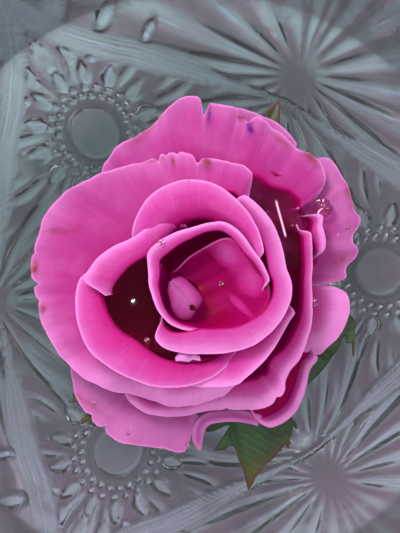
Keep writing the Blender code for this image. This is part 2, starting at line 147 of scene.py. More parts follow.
def smoothLine(points, count):
    # evenly spaced points on a smooth curve through the given ones
    knots = np.array(points, float)
    ends = np.vstack([2 * knots[0] - knots[1], knots, 2 * knots[-1] - knots[-2]])
    share = (np.arange(16) / 16)[:, None]
    fine = []
    for i in range(1, len(ends) - 2):
        before, start, end, after = ends[i - 1:i + 3]
        square, cube = 2 * before - 5 * start + 4 * end - after, 3 * start - before - 3 * end + after
        fine.append(0.5 * (2 * start + (end - before) * share + square * share**2 + cube * share**3))
    fine = np.vstack([*fine, knots[-1:]])
    along = np.concatenate([[0], np.cumsum(np.linalg.norm(np.diff(fine, axis=0), axis=1))])
    wanted = np.linspace(0, along[-1], count)
    return np.stack([np.interp(wanted, along, fine[:, k]) for k in range(knots.shape[1])], axis=1)


def smoothStep(x, low=0.0, high=1.0):
    t = np.clip((np.asarray(x, float) - low) / (high - low), 0, 1)
    return t * t * (3 - 2 * t)


def placesOf(mesh):
    co = np.empty(len(mesh.vertices) * 3)
    mesh.vertices.foreach_get("co", co)
    return co.reshape(-1, 3)


def setPlaces(mesh, places):
    mesh.vertices.foreach_set("co", np.ascontiguousarray(places, np.float32).ravel())
    mesh.update()


def setAttributes(mesh, **values):
    # numbers on the vertices, for the materials to read; a single one is for all of them
    for name, value in values.items():
        made = mesh.attributes.new(name, "FLOAT", "POINT")
        made.data.foreach_set("value", np.full(len(mesh.vertices), value, np.float32))


def meshOf(name, bm):
    mesh = bpy.data.meshes.new(name)
    bm.to_mesh(mesh)
    bm.free()
    return mesh


def gridMesh(name, columns, rows):
    # a flat grid to bend, with each vertex's column, and its shares of the way across and up
    bm = bmesh.new()
    bmesh.ops.create_grid(bm, x_segments=columns, y_segments=rows, size=0.5, calc_uvs=True)
    mesh = meshOf(name, bm)
    across, up = placesOf(mesh)[:, :2].T + 0.5
    return mesh, np.rint(across * columns).astype(int), across, up


def setOnBloom(mesh, flat, rise):
    # places from the bloom's axis, rises from the water
    setPlaces(mesh, np.column_stack([flat + np.array(bloomAxis), waterLevel + rise]))


def heading(azimuth):
    # unit vectors at these azimuths, in degrees
    turn = np.radians(azimuth)
    return np.stack([np.cos(turn), np.sin(turn)], axis=-1)


def ovalSquared(flat, centre, size, azimuth):
    # squared distance from the centre of a turned oval, 1 on its outline
    away, run = flat - np.array(centre), heading(azimuth)
    return (away @ run / size[0]) ** 2 + ((away[:, 0] * run[1] - away[:, 1] * run[0]) / size[1]) ** 2


def thickened(piece, thickness):
    solidify = piece.modifiers.new("thickness", "SOLIDIFY")
    solidify.thickness = thickness * mm
    solidify.offset = 0
    return piece


def finishedPiece(name, mesh, material, slotName, *nodes):
    # millimetres to metres, smooth shading, and the piece's place in the frame
    setPlaces(mesh, placesOf(mesh) * mm)
    mesh.shade_smooth()
    piece = bpy.data.objects.new(name, mesh)
    bpy.context.scene.collection.objects.link(piece)
    mesh.materials.append(material)
    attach(piece, "root")
    if nodes:
        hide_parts(*nodes)
    return piece


def spun(profile, steps, centre=(0, 0)):
    # a profile of reach and height turned round the upright through centre
    bm = bmesh.new()
    verts = [bm.verts.new((centre[0] + reach, centre[1], height)) for reach, height in profile]
    edges = [bm.edges.new(pair) for pair in zip(verts, verts[1:])]
    bmesh.ops.spin(bm, geom=verts + edges, cent=(centre[0], centre[1], 0), axis=(0, 0, 1), angle=math.tau,
                   steps=steps, use_merge=True, use_duplicate=False)
    bmesh.ops.remove_doubles(bm, verts=bm.verts, dist=0.0005)
    bmesh.ops.recalc_face_normals(bm, faces=bm.faces)
    return bm


def insideOutline(points, outline):
    # even-odd test of many points against one closed outline
    inside = np.zeros(len(points), bool)
    for (x1, y1), (x2, y2) in zip(outline, np.roll(outline, -1, axis=0)):
        crosses = (y1 > points[:, 1]) != (y2 > points[:, 1])
        slant = (x2 - x1) * (points[:, 1] - y1) / (y2 - y1 if y2 != y1 else 1e-9) + x1
        inside ^= crosses & (points[:, 0] < slant)
    return inside


def nearestOnOutline(points, outline):
    best = np.full(len(points), 1e9)
    place = points.copy()
    for start, end in zip(outline, np.roll(outline, -1, axis=0)):
        run = end - start
        share = np.clip(((points - start) @ run) / max(run @ run, 1e-9), 0, 1)
        foot = start + share[:, None] * run
        away = np.linalg.norm(points - foot, axis=1)
        place = np.where((away < best)[:, None], foot, place)
        best = np.minimum(best, away)
    return place, best


def cutSheet(name, outline, cell):
    # a flat grid cut to an outline, its border drawn on to it
    outline = np.array(outline, float)
    low, high = outline.min(axis=0) - cell, outline.max(axis=0) + cell
    counts = np.ceil((high - low) / cell).astype(int)
    bm = bmesh.new()
    bmesh.ops.create_grid(bm, x_segments=int(counts[0]), y_segments=int(counts[1]), size=0.5)
    for vert in bm.verts:
        vert.co.x = low[0] + (vert.co.x + 0.5) * counts[0] * cell
        vert.co.y = low[1] + (vert.co.y + 0.5) * counts[1] * cell
    centres = np.array([face.calc_center_median()[:2] for face in bm.faces])
    keep = insideOutline(centres, outline)
    outer = [face for face, kept in zip(list(bm.faces), keep) if not kept]
    bmesh.ops.delete(bm, geom=outer, context="FACES")
    border = [vert for vert in bm.verts if vert.is_boundary]
    drawn, _ = nearestOnOutline(np.array([vert.co[:2] for vert in border]), outline)
    for vert, place in zip(border, drawn):
        vert.co.x, vert.co.y = place
    inner = [vert for vert in bm.verts if not vert.is_boundary]
    for _ in range(2):
        bmesh.ops.smooth_vert(bm, verts=inner, factor=0.5, use_axis_x=True, use_axis_y=True)
    return meshOf(name, bm)


# Bowl

bowlValues = {
    "innerWall": ((0, 6), (30, 6), (40, 7.4), (50, 12.6), (60, 20.2), (70, 28.6), (80, 37.2), (91, 46),
                  (98, 53), (105, 62), (111.5, 71.5), (117, 80.5)),
    "thickness": 4.4,
    "footReach": 42.0,
    "steps": 600,
    "footDish": ((0, 0.9), (15, 0.9), (30, 0.9), (36, 0.9), (38, 0.4), (39.5, 0)),
    "footEdge": ((0, 0), (1.1, 0.3), (1.7, 1.1)),      # past footReach, height
    "ringsOutside": 118,
    "ringsInside": 20,
    "scallops": 24,
    "scallopRise": 1.6,
    "archAxis": 124.2,         # the pattern comes three times round
    "archSide": ((57.6, 33.2), (47.2, 46.6), (40.1, 55.4), (27.3, 71), (18.2, 79.5), (9.5, 89.4), (3.5, 99),
                 (0, 107)),
    "bandHalfWidth": 3.9,
    "bandFlutes": 6,
    "medallion": (0.0, 60.5),
    "medallionRadius": 7.8,
    "beadRings": ((11.6, 23, 0), (14.2, 23, 0.5)),     # reach, count, turn in steps
    "beadRadius": 0.85,
    "strokes": 31,
    "rosette": (15.0, 22.0, 360 / 14, 2.3, 0.8),       # from, to, degrees between leaves, half width, skew
    "fan": (21.5, 35.0, 17.0, 2.6, 0.7),
    "printTurn": 60,
    "thumbprints": ((23.9, 87.3, 4.7, 2.3), (32.7, 76.0, 3.8, 1.5), (10.4, 97.6, 6.5, 4.0)),
    "rays": 10,
    "leaves": 8,
    "raysOut": 9.0,
    "relief": 1.5,
    "bandNarrow": 0.16,                    # the band's width at its tip, as a share
    "bandHeights": (0.46, 0.3, 0.08),      # its edges, what its middle adds, its flutes
    "heights": {"rays": 0.75, "leaves": 0.7, "strokes": 0.62, "medallion": 0.36, "rosette": 0.8,
                "print": 0.9, "scallops": 0.5},       # shares of the relief
    # painted shade: how dark the outlines of the medallion, beads, blades and band are painted
    "inks": {"medallion": 0.8, "beads": 0.9, "blades": 0.75, "band": 0.6},
    "baseRays": 24,
    "baseCut": 0.55,
    "facetSpan": 0.35,            # a slope is taken between two places this far to either side
    # painted light: slopes that face this side are painted paler, and those that face away darker
    "paintedLightSide": (-0.6, 0.8),      # the slopes that face this way look paler
}
wallLine = smoothLine(bowlValues["innerWall"], 300)


def innerHeight(reach):
    return np.interp(reach, wallLine[:, 0], wallLine[:, 1])


def wallSlope(reach):
    reach = np.minimum(reach, bowlValues["innerWall"][-1][0] - 2)
    return (innerHeight(reach + 1.5) - innerHeight(reach - 1.5)) / 3


def domed(distance):
    # a round swelling, 1 in its middle and 0 from distance 1 on
    return np.sqrt(np.clip(1 - distance**2, 0, 1))


def ringOfLeaves(reach, angle, start, end, spacing, width, skew):
    # leaves pointed at both ends, set round a middle
    spacing = math.radians(spacing)
    offCentre = reach * ((angle + spacing / 2) % spacing - spacing / 2)
    lengthways = np.clip((reach - start) / (end - start), 0, 1)
    rounded = domed(offCentre / (width * np.sin(math.pi * lengthways**skew) + 0.01))
    return np.where((lengthways > 0) & (lengthways < 1), rounded, 0)


def swell(turns):
    # rounded ribs with rounded valleys
    return np.cos(turns * math.pi) ** 2


def fluted(turns):
    # rounded ribs with sharp valleys between them, one rib for each half turn
    return np.abs(np.cos(turns * math.pi))


def reliefAt(x, y):
    # over the plan of the bowl: how far the outside stands out, from 0 to about 1, a value that runs across
    # the flow of the pattern, how dark its outlines are painted, as painted shade, and how near the middle of
    # a bead
    b = bowlValues
    heights, inks = b["heights"], b["inks"]
    folded = np.abs((np.degrees(np.arctan2(y, x)) - b["archAxis"] + 60) % 120 - 60)
    reach = np.hypot(x, y)
    across, along = reach * np.sin(np.radians(folded)), reach * np.cos(np.radians(folded))
    arch = smoothLine(b["archSide"], 80)
    star = arch[0]
    away = np.full(len(x), 1e9)
    side, place = np.zeros(len(x)), np.zeros(len(x))
    runs = np.gradient(arch, axis=0)
    for k, (point, run) in enumerate(zip(arch, runs)):
        distance = np.hypot(across - point[0], along - point[1])
        nearer = distance < away
        away = np.where(nearer, distance, away)
        side = np.where(nearer, run[1] * (across - point[0]) - run[0] * (along - point[1]), side)
        place = np.where(nearer, k / (len(arch) - 1), place)
    signed = np.copysign(away, side)
    half = b["bandHalfWidth"] * (b["bandNarrow"] + (1 - b["bandNarrow"]) * smoothStep(place, 0, 0.5))
    inBand = 1 - smoothStep(away, half - 0.5, half + 0.5)
    low, more, flutes = b["bandHeights"]
    band = low + more * np.cos(math.pi / 2 * np.clip(away / half, 0, 1))
    band += flutes * np.cos(signed / half * b["bandFlutes"] * math.pi)

    # flutes round each star: rays towards the rim, and leaves that hug the middle of the bowl
    outward = star / np.hypot(*star)
    rayStart = star + outward * b["raysOut"]
    fromStar = np.hypot(across - rayStart[0], along - rayStart[1])
    turn = np.degrees(np.arctan2(along - rayStart[1], across - rayStart[0])) - 30
    uneven = turn + 5 * np.sin(np.radians(turn * 3 + 40))
    rays = swell(uneven / 180 * b["rays"]) * (0.8 + 0.2 * swell(turn / 180 * b["rays"] / 3))
    rays *= smoothStep(fromStar, 2, 16)
    aroundStar = reach * np.radians(60 - folded)
    inward = np.hypot(*star) - reach
    leafTurn = np.degrees(np.arctan2(inward, aroundStar * 0.8 + 0.01))
    leafReach = np.hypot(inward, aroundStar)
    leaves = swell(leafTurn / 180 * b["leaves"]) * smoothStep(leafReach, 1, 9)
    leaves *= 1 - smoothStep(leafReach, 30, 44)

    # the field inside the arch: medallion, two rings of beads, a rosette and a fan below the tip
    outOfMiddle = (across - b["medallion"][0], along - b["medallion"][1])
    fromMiddle = np.hypot(*outOfMiddle)
    angle = np.arctan2(outOfMiddle[0], outOfMiddle[1])
    strokes = angle / math.tau * b["strokes"] + 0.5 * np.sin(angle * 3 + 1)
    strokes += 0.3 * np.sin(fromMiddle / 6) + 0.015 * along
    inside = heights["strokes"] * swell(strokes) ** 1.3 * (0.55 + 0.45 * np.sin(fromMiddle / 3.4 + angle * 7))
    inside *= smoothStep(fromMiddle, 13, 19)
    edge = b["medallionRadius"]
    disk = heights["medallion"] * (1 - smoothStep(fromMiddle, edge - 1.0, edge + 0.8))
    inside = np.maximum(inside, disk)
    quiet = smoothStep(fromMiddle, edge + 0.2, edge + 0.9)
    beads = np.zeros(len(x))
    for radius, count, shift in b["beadRings"]:
        spacing = math.tau / count
        offCentre = (angle + spacing * (0.5 + shift)) % spacing - spacing / 2
        fromBead = np.hypot(fromMiddle - radius, radius * offCentre)
        beads = np.maximum(beads, quiet * domed(fromBead / b["beadRadius"]))
    blades = heights["rosette"] * ringOfLeaves(fromMiddle, angle, *b["rosette"])
    fan = ringOfLeaves(fromMiddle, angle, *b["fan"])
    blades = np.maximum(blades, fan * (1 - smoothStep(np.abs(np.degrees(angle)), 42, 44)))
    inside = np.maximum(inside, np.maximum(beads, blades))
    # painted shade: dark outlines round the medallion, the beads and the blades
    ink = inks["medallion"] * np.exp(-((fromMiddle - edge - 0.9) / 0.8) ** 2)
    ink = np.maximum(ink, inks["beads"] * np.exp(-((beads - 0.25) / 0.22) ** 2) * (beads > 0))
    ink = np.maximum(ink, inks["blades"] * np.exp(-((blades - 0.3) / 0.25) ** 2) * (blades > 0))

    outside = rays * heights["rays"]
    # painted shade: a dark ring round each thumbprint
    thumbprintShade = np.zeros(len(x))
    for sideways, forward, length, width in b["thumbprints"]:
        slant = math.radians(b["printTurn"])
        u = (across - sideways) * math.sin(slant) + (along - forward) * math.cos(slant)
        v = (across - sideways) * math.cos(slant) - (along - forward) * math.sin(slant)
        fromPrint = np.hypot(u / length, v / width)
        outside = np.where(fromPrint < 1.6, outside * smoothStep(fromPrint, 1.05, 1.6), outside)
        outside = np.maximum(outside, heights["print"] * domed(fromPrint))
        thumbprintShade = np.maximum(thumbprintShade, np.exp(-((fromPrint - 1.2) / 0.3) ** 2))
    nearRim = smoothStep(reach, 108, 111)
    scallops = fluted(np.arctan2(y, x) / math.tau * b["scallops"])
    outside = outside * (1 - nearRim) + nearRim * heights["scallops"] * scallops
    leafField = leaves * heights["leaves"] * smoothStep(leafTurn, 4, 16)
    inField = signed <= 0
    pattern = np.where(inField, np.maximum(inside, leafField), outside)
    flow = np.where(leafField > inside, 40 + leafTurn / 6, 70 + np.degrees(angle) / 9)
    flow = np.where(inField, flow, uneven / 7)
    flow = np.where(inField & (fromMiddle < b["medallionRadius"] + 1), 60 + across * 0.04, flow)
    flow = np.where(inBand > 0.5, 100 + signed * 1.3, flow)
    ink = np.where(inField, ink, thumbprintShade)
    ink = np.maximum(ink * (1 - inBand), inks["band"] * np.exp(-((away - half) / 0.5) ** 2))
    pattern = pattern * (1 - inBand) + band * inBand
    return pattern, flow, ink, np.where(inField, beads, 0)


def makeBowl(material):
    b = bowlValues
    innerEnd = b["innerWall"][-1]
    reaches = np.concatenate([[0, 25, 36], np.linspace(40, innerEnd[0], b["ringsInside"])])
    inner = [(reach, float(innerHeight(reach))) for reach in reaches]
    outer = []
    stops = (b["footReach"] + 2.5, 70, 95, innerEnd[0] - 0.5)
    for reach in np.interp(np.linspace(0, 1, b["ringsOutside"]), (0, 0.36, 0.8, 1), stops):
        slope = float(wallSlope(reach))
        length = math.hypot(1, slope)
        height = float(innerHeight(reach))
        outer.append((reach + b["thickness"] * slope / length, height - b["thickness"] / length))
    foot = [*b["footDish"], *((b["footReach"] + out, height) for out, height in b["footEdge"])]
    outerEnd = outer[-1]
    overLip = [(outerEnd[0] + 0.9, outerEnd[1] + 1.7), (innerEnd[0] + 1.7, innerEnd[1] + 1.1)]
    lip = smoothLine([outerEnd, *overLip, innerEnd], 8)
    mesh = meshOf("bowlGlass", spun([*foot, *outer, *lip[1:-1], *inner[::-1]], b["steps"]))
    co = placesOf(mesh)
    x, y, z = co.T
    reach = np.maximum(np.hypot(x, y), 1e-6)
    below = innerHeight(np.minimum(reach, innerEnd[0])) - z
    onOutside = smoothStep(below, 1, 3.5) * smoothStep(z, 2.2, 5.5)
    onOutside *= 1 - smoothStep(z, innerEnd[1] - 6, innerEnd[1] - 0.5)
    pattern, flow, ink, beads = reliefAt(x, y)
    slope = wallSlope(reach)
    push = onOutside * pattern * b["relief"] / np.hypot(1, slope)
    azimuth = np.arctan2(y, x)
    rimLift = smoothStep(reach, 106, 116) * b["scallopRise"] * (0.5 + 0.5 * np.cos(b["scallops"] * azimuth))
    starCut = (z < 1) * smoothStep(reach, 2, 8) * (1 - smoothStep(reach, 33, 37)) * b["baseCut"]
    starCut = starCut * fluted(azimuth / math.tau * b["baseRays"])
    outward = np.stack([x / reach, y / reach], axis=1)
    co[:, :2] += outward * (push * slope + rimLift * 0.9)[:, None]
    co[:, 2] += -push + rimLift + starCut
    setPlaces(mesh, co)
    # painted light: the facet is the slope towards the lit side, which the glass's colour turns paler, and
    # darker where it faces away
    lean = b["facetSpan"] * np.array(b["paintedLightSide"]) / math.hypot(*b["paintedLightSide"])
    facet = reliefAt(x + lean[0], y + lean[1])[0] - reliefAt(x - lean[0], y - lean[1])[0]
    setAttributes(mesh, relief=onOutside * pattern, facet=onOutside * facet, flow=onOutside * flow,
                  ink=onOutside * ink, beads=onOutside * beads, outside=onOutside)
    return finishedPiece("bowlGlass", mesh, material, "glass", "bowl")


glassLook = {
    # painted light: pale, dark, blue and rose are painted highlights, shade and reflections; the clear colour
    # is the glass's own and also the painted glints on the beads; upper and lower paint the glass brighter
    # towards the lower right, and the dry shade paints it darker above the water
    "clear": (0.97, 0.99, 0.99),
    "pale": (0.22, 0.35, 0.39),
    "mid": (0.062, 0.085, 0.096),
    "mauve": (0.12, 0.064, 0.108),
    "dark": (0.008, 0.012, 0.016),
    "blue": (0.25, 0.4, 0.68),
    "roseReflection": (0.4, 0.06, 0.14),
    "teal": (0.5, 0.95, 0.85),        # the last four multiply what lies under them
    "upper": (0.68, 0.78, 0.8),
    "lower": (1.75, 1.25, 1.6),
    "dryShade": (0.075, 0.105, 0.12),
    "wetReach": (90, 94),
    "cloud": (34.0, 4.0, 0.6),        # noises: scale, detail, roughness, distortion
    "streaks": (1.0, 5.0, 0.65, 0.4),
    "strands": (2.6, 4.0, 0.6),
    "skin": (160.0, 3.0),
    "bump": (0.2, 0.0008),            # strength, distance in metres
}


def glassMaterial():
    # painted light: the glass's colour stands in for what is seen through and mirrored in it, with painted
    # highlights on ridges and lit slopes, painted shade in valleys, on shaded slopes and along outlines,
    # painted blue and rose reflections and painted glints on the beads; above the water line the glass looks
    # much darker, as its surroundings leave it, which is painted in as painted shade
    look = glassLook
    material, wire, shader, place = newMaterial("pressedGlass", Roughness=0.04, IOR=1.5,
                                                Transmission_Weight=0.94, Specular_IOR_Level=0.5)
    names = ("relief", "facet", "flow", "ink", "beads", "outside")
    relief, facet, flow, ink, beads, outside = attributes(wire, *names)
    x, y = (wire.node("ShaderNodeSeparateXYZ", values={0: place}, out=k) for k in (0, 1))
    reach = ((x * x + y * y) ** 0.5) * 1000
    farther = reach.between(50, 85)
    cloud = noise(wire, place, *look["cloud"])
    lengthways = wire.node("ShaderNodeCombineXYZ", values={0: flow, 1: reach * 0.035})
    streaks = noise(wire, lengthways, *look["streaks"])
    strands = noise(wire, lengthways, *look["strands"])
    tint = (streaks - 0.5) * 3.0 + (cloud - 0.5) * 2.0 + farther * 0.7 + 0.15
    # painted light: paler ridges and lit slopes, darker valleys, shaded slopes, streaks and outlines, blue
    # and rose reflections, and glints on the beads
    layers = (
        (relief.between(0.3, 0.0) * 0.45, "dark"),
        (relief.between(0.2, 0.75) * (strands.between(0.3, 0.55) * 0.6 + 0.06), "pale"),
        (facet.between(0.02, 0.2) * 0.7, "pale"),
        (facet.between(-0.02, -0.2) * 0.75, "dark"),
        (strands.between(0.56, 0.7) * 0.6, "dark"),
        (relief.between(0.3, 0.7) * streaks.between(0.56, 0.62) * farther * 0.8, "blue"),
        (cloud.between(0.54, 0.66) * (farther * 0.45 + 0.15), "dark"),
        (cloud.between(0.44, 0.34) * farther * 0.4, "pale"),
        (cloud.between(0.66, 0.72) * streaks.between(0.5, 0.56) * 0.7, "roseReflection"),
        ((ink * (0.6 + cloud * 0.5)).clipped(), "dark"),
        (beads.between(0.7, 0.95) * cloud.between(0.45, 0.55), "clear"),
    )
    body = mixed(wire, tint.clipped(), look["mid"], look["mauve"])
    for share, colour in layers:
        body = mixed(wire, share, body, look[colour])
    # painted light: the glass is painted brighter towards the lower right
    lower = (x * 0.5 - y * 0.85) * 1000
    daylight = mixed(wire, lower.between(-60, 70), look["upper"], look["lower"])
    inner = mixed(wire, 1.0, body, look["teal"], "MULTIPLY")
    body = mixed(wire, reach.between(64, 46) * 0.45, body, inner)
    body = mixed(wire, 1.0, body, daylight, "MULTIPLY")
    # painted shade: above the water line the glass is painted much darker
    dryShade = mixed(wire, 1.0, body, look["dryShade"], "MULTIPLY")
    body = mixed(wire, reach.between(*look["wetReach"]), body, dryShade)
    feed(wire, shader, "Base Color", mixed(wire, outside, look["clear"], body))
    bumped(wire, shader, noise(wire, place, *look["skin"]), *look["bump"])
    return material


# Water in the bowl

waterValues = {
    "steps": 240,
    "intoGlass": 0.12,      # the water wets the wall: its skin lies just inside the glass
    "ripple": 0.10,
    "rings": 34,
    "flatRings": 44,
    "wetEdge": 0.08,        # how far the skin's edge climbs into the glass
    "colours": (linear(252, 254, 254), linear(248, 252, 253)),
    "skin": (55.0, 2.0, 0.4),
    "bump": (0.1, 0.001),
}


def makeWater(material):
    w = waterValues
    side = [(0, float(innerHeight(0)) - w["intoGlass"])]
    for reach in np.concatenate([[25, 36], np.linspace(40, 92, w["rings"])]):
        height = float(innerHeight(reach))
        if height < waterLevel - 0.3:
            slope = float(wallSlope(reach))
            into = w["intoGlass"] / math.hypot(1, slope)
            side.append((reach + into * slope, height - into))
    edge = float(np.interp(waterLevel, wallLine[:, 1], wallLine[:, 0]))
    top = [(edge + w["wetEdge"], waterLevel)]
    top += [(reach, waterLevel) for reach in np.linspace(edge - 3.2, 4, w["flatRings"])] + [(0, waterLevel)]
    mesh = meshOf("waterFill", spun(side + top, w["steps"]))
    co = placesOf(mesh)
    x, y, z = co.T
    onTop = smoothStep(z, waterLevel - 0.05, waterLevel - 0.01) * (1 - smoothStep(np.hypot(x, y), 80, 88))
    waves = np.sin(x / 5.1 + y / 9) + np.sin(y / 4.3 - x / 12 + 1) + np.sin((x + y) / 3.1 + 2) * 0.5
    co[:, 2] += onTop * w["ripple"] * waves
    setPlaces(mesh, co)
    piece = finishedPiece("waterFill", mesh, material, "water", "water")
    mesh.set_sharp_from_angle(angle=crease)
    return piece


def waterMaterial():
    material, wire, shader, place = newMaterial("stillWater", Roughness=0.02, IOR=1.33,
                                                Transmission_Weight=1.0)
    w = waterValues
    feed(wire, shader, "Base Color", mixed(wire, noise(wire, place, 18.0), *w["colours"]))
    bumped(wire, shader, noise(wire, place, *w["skin"]), *w["bump"])
    return material


# a painted highlight: the long light mirrored in the right pool, in millimetres from the bowl's axis
longGlint = {"middle": (25.4, 20.3), "run": (0.259, -0.966), "half": 6.2, "halfWidth": 0.42}
poolLook = {
    # painted light: the left and right tints darken the pools' colour towards crimson and violet, as painted
    # shade; the mauve reflection and the glint glow on the right pool as a painted reflection and a painted
    # highlight
    "left": (1.0, 0.3, 0.5),
    "right": (0.62, 0.2, 0.36),
    "mauveReflection": (0.06, 0.006, 0.035),
    "glint": (0.8, 0.5, 0.75),
    "patches": (60.0, 2.0, 0.5, 0.8),
    "skin": (90.0, 1.0),
    "bump": (0.05, 0.001),
}


def poolMaterial():
    # painted reflection: the right pool mirrors something mauve, which the sheen stands for as a faint glow,
    # with the long painted highlight; the tints darken both pools as painted shade
    look = poolLook
    material, wire, shader, place = newMaterial("pooledWater", Roughness=0.04, IOR=1.14,
                                                Transmission_Weight=1.0, Emission_Strength=1.0)
    sheen, = attributes(wire, "sheen")
    middle, (runX, runY) = longGlint["middle"], longGlint["run"]
    across, up = (wire.node("ShaderNodeSeparateXYZ", values={0: place}, out=k) * 1000 - middle[k]
                  for k in (0, 1))
    forward, side = across * runX + up * runY, across * runY - up * runX
    forward, side = (forward * forward) ** 0.5, (side * side) ** 0.5
    half = longGlint["half"]
    glint = sheen * forward.between(half, half - 1.5) * side.between(longGlint["halfWidth"], 0.1)
    feed(wire, shader, "Base Color", mixed(wire, sheen, look["left"], look["right"]))
    patches = noise(wire, place, *look["patches"])
    mauveReflection = mixed(wire, sheen * patches.between(0.3, 0.65), (0, 0, 0), look["mauveReflection"])
    feed(wire, shader, "Emission Color", mixed(wire, glint, mauveReflection, look["glint"]))
    bumped(wire, shader, noise(wire, place, *look["skin"]), *look["bump"])
    return material


# Bloom

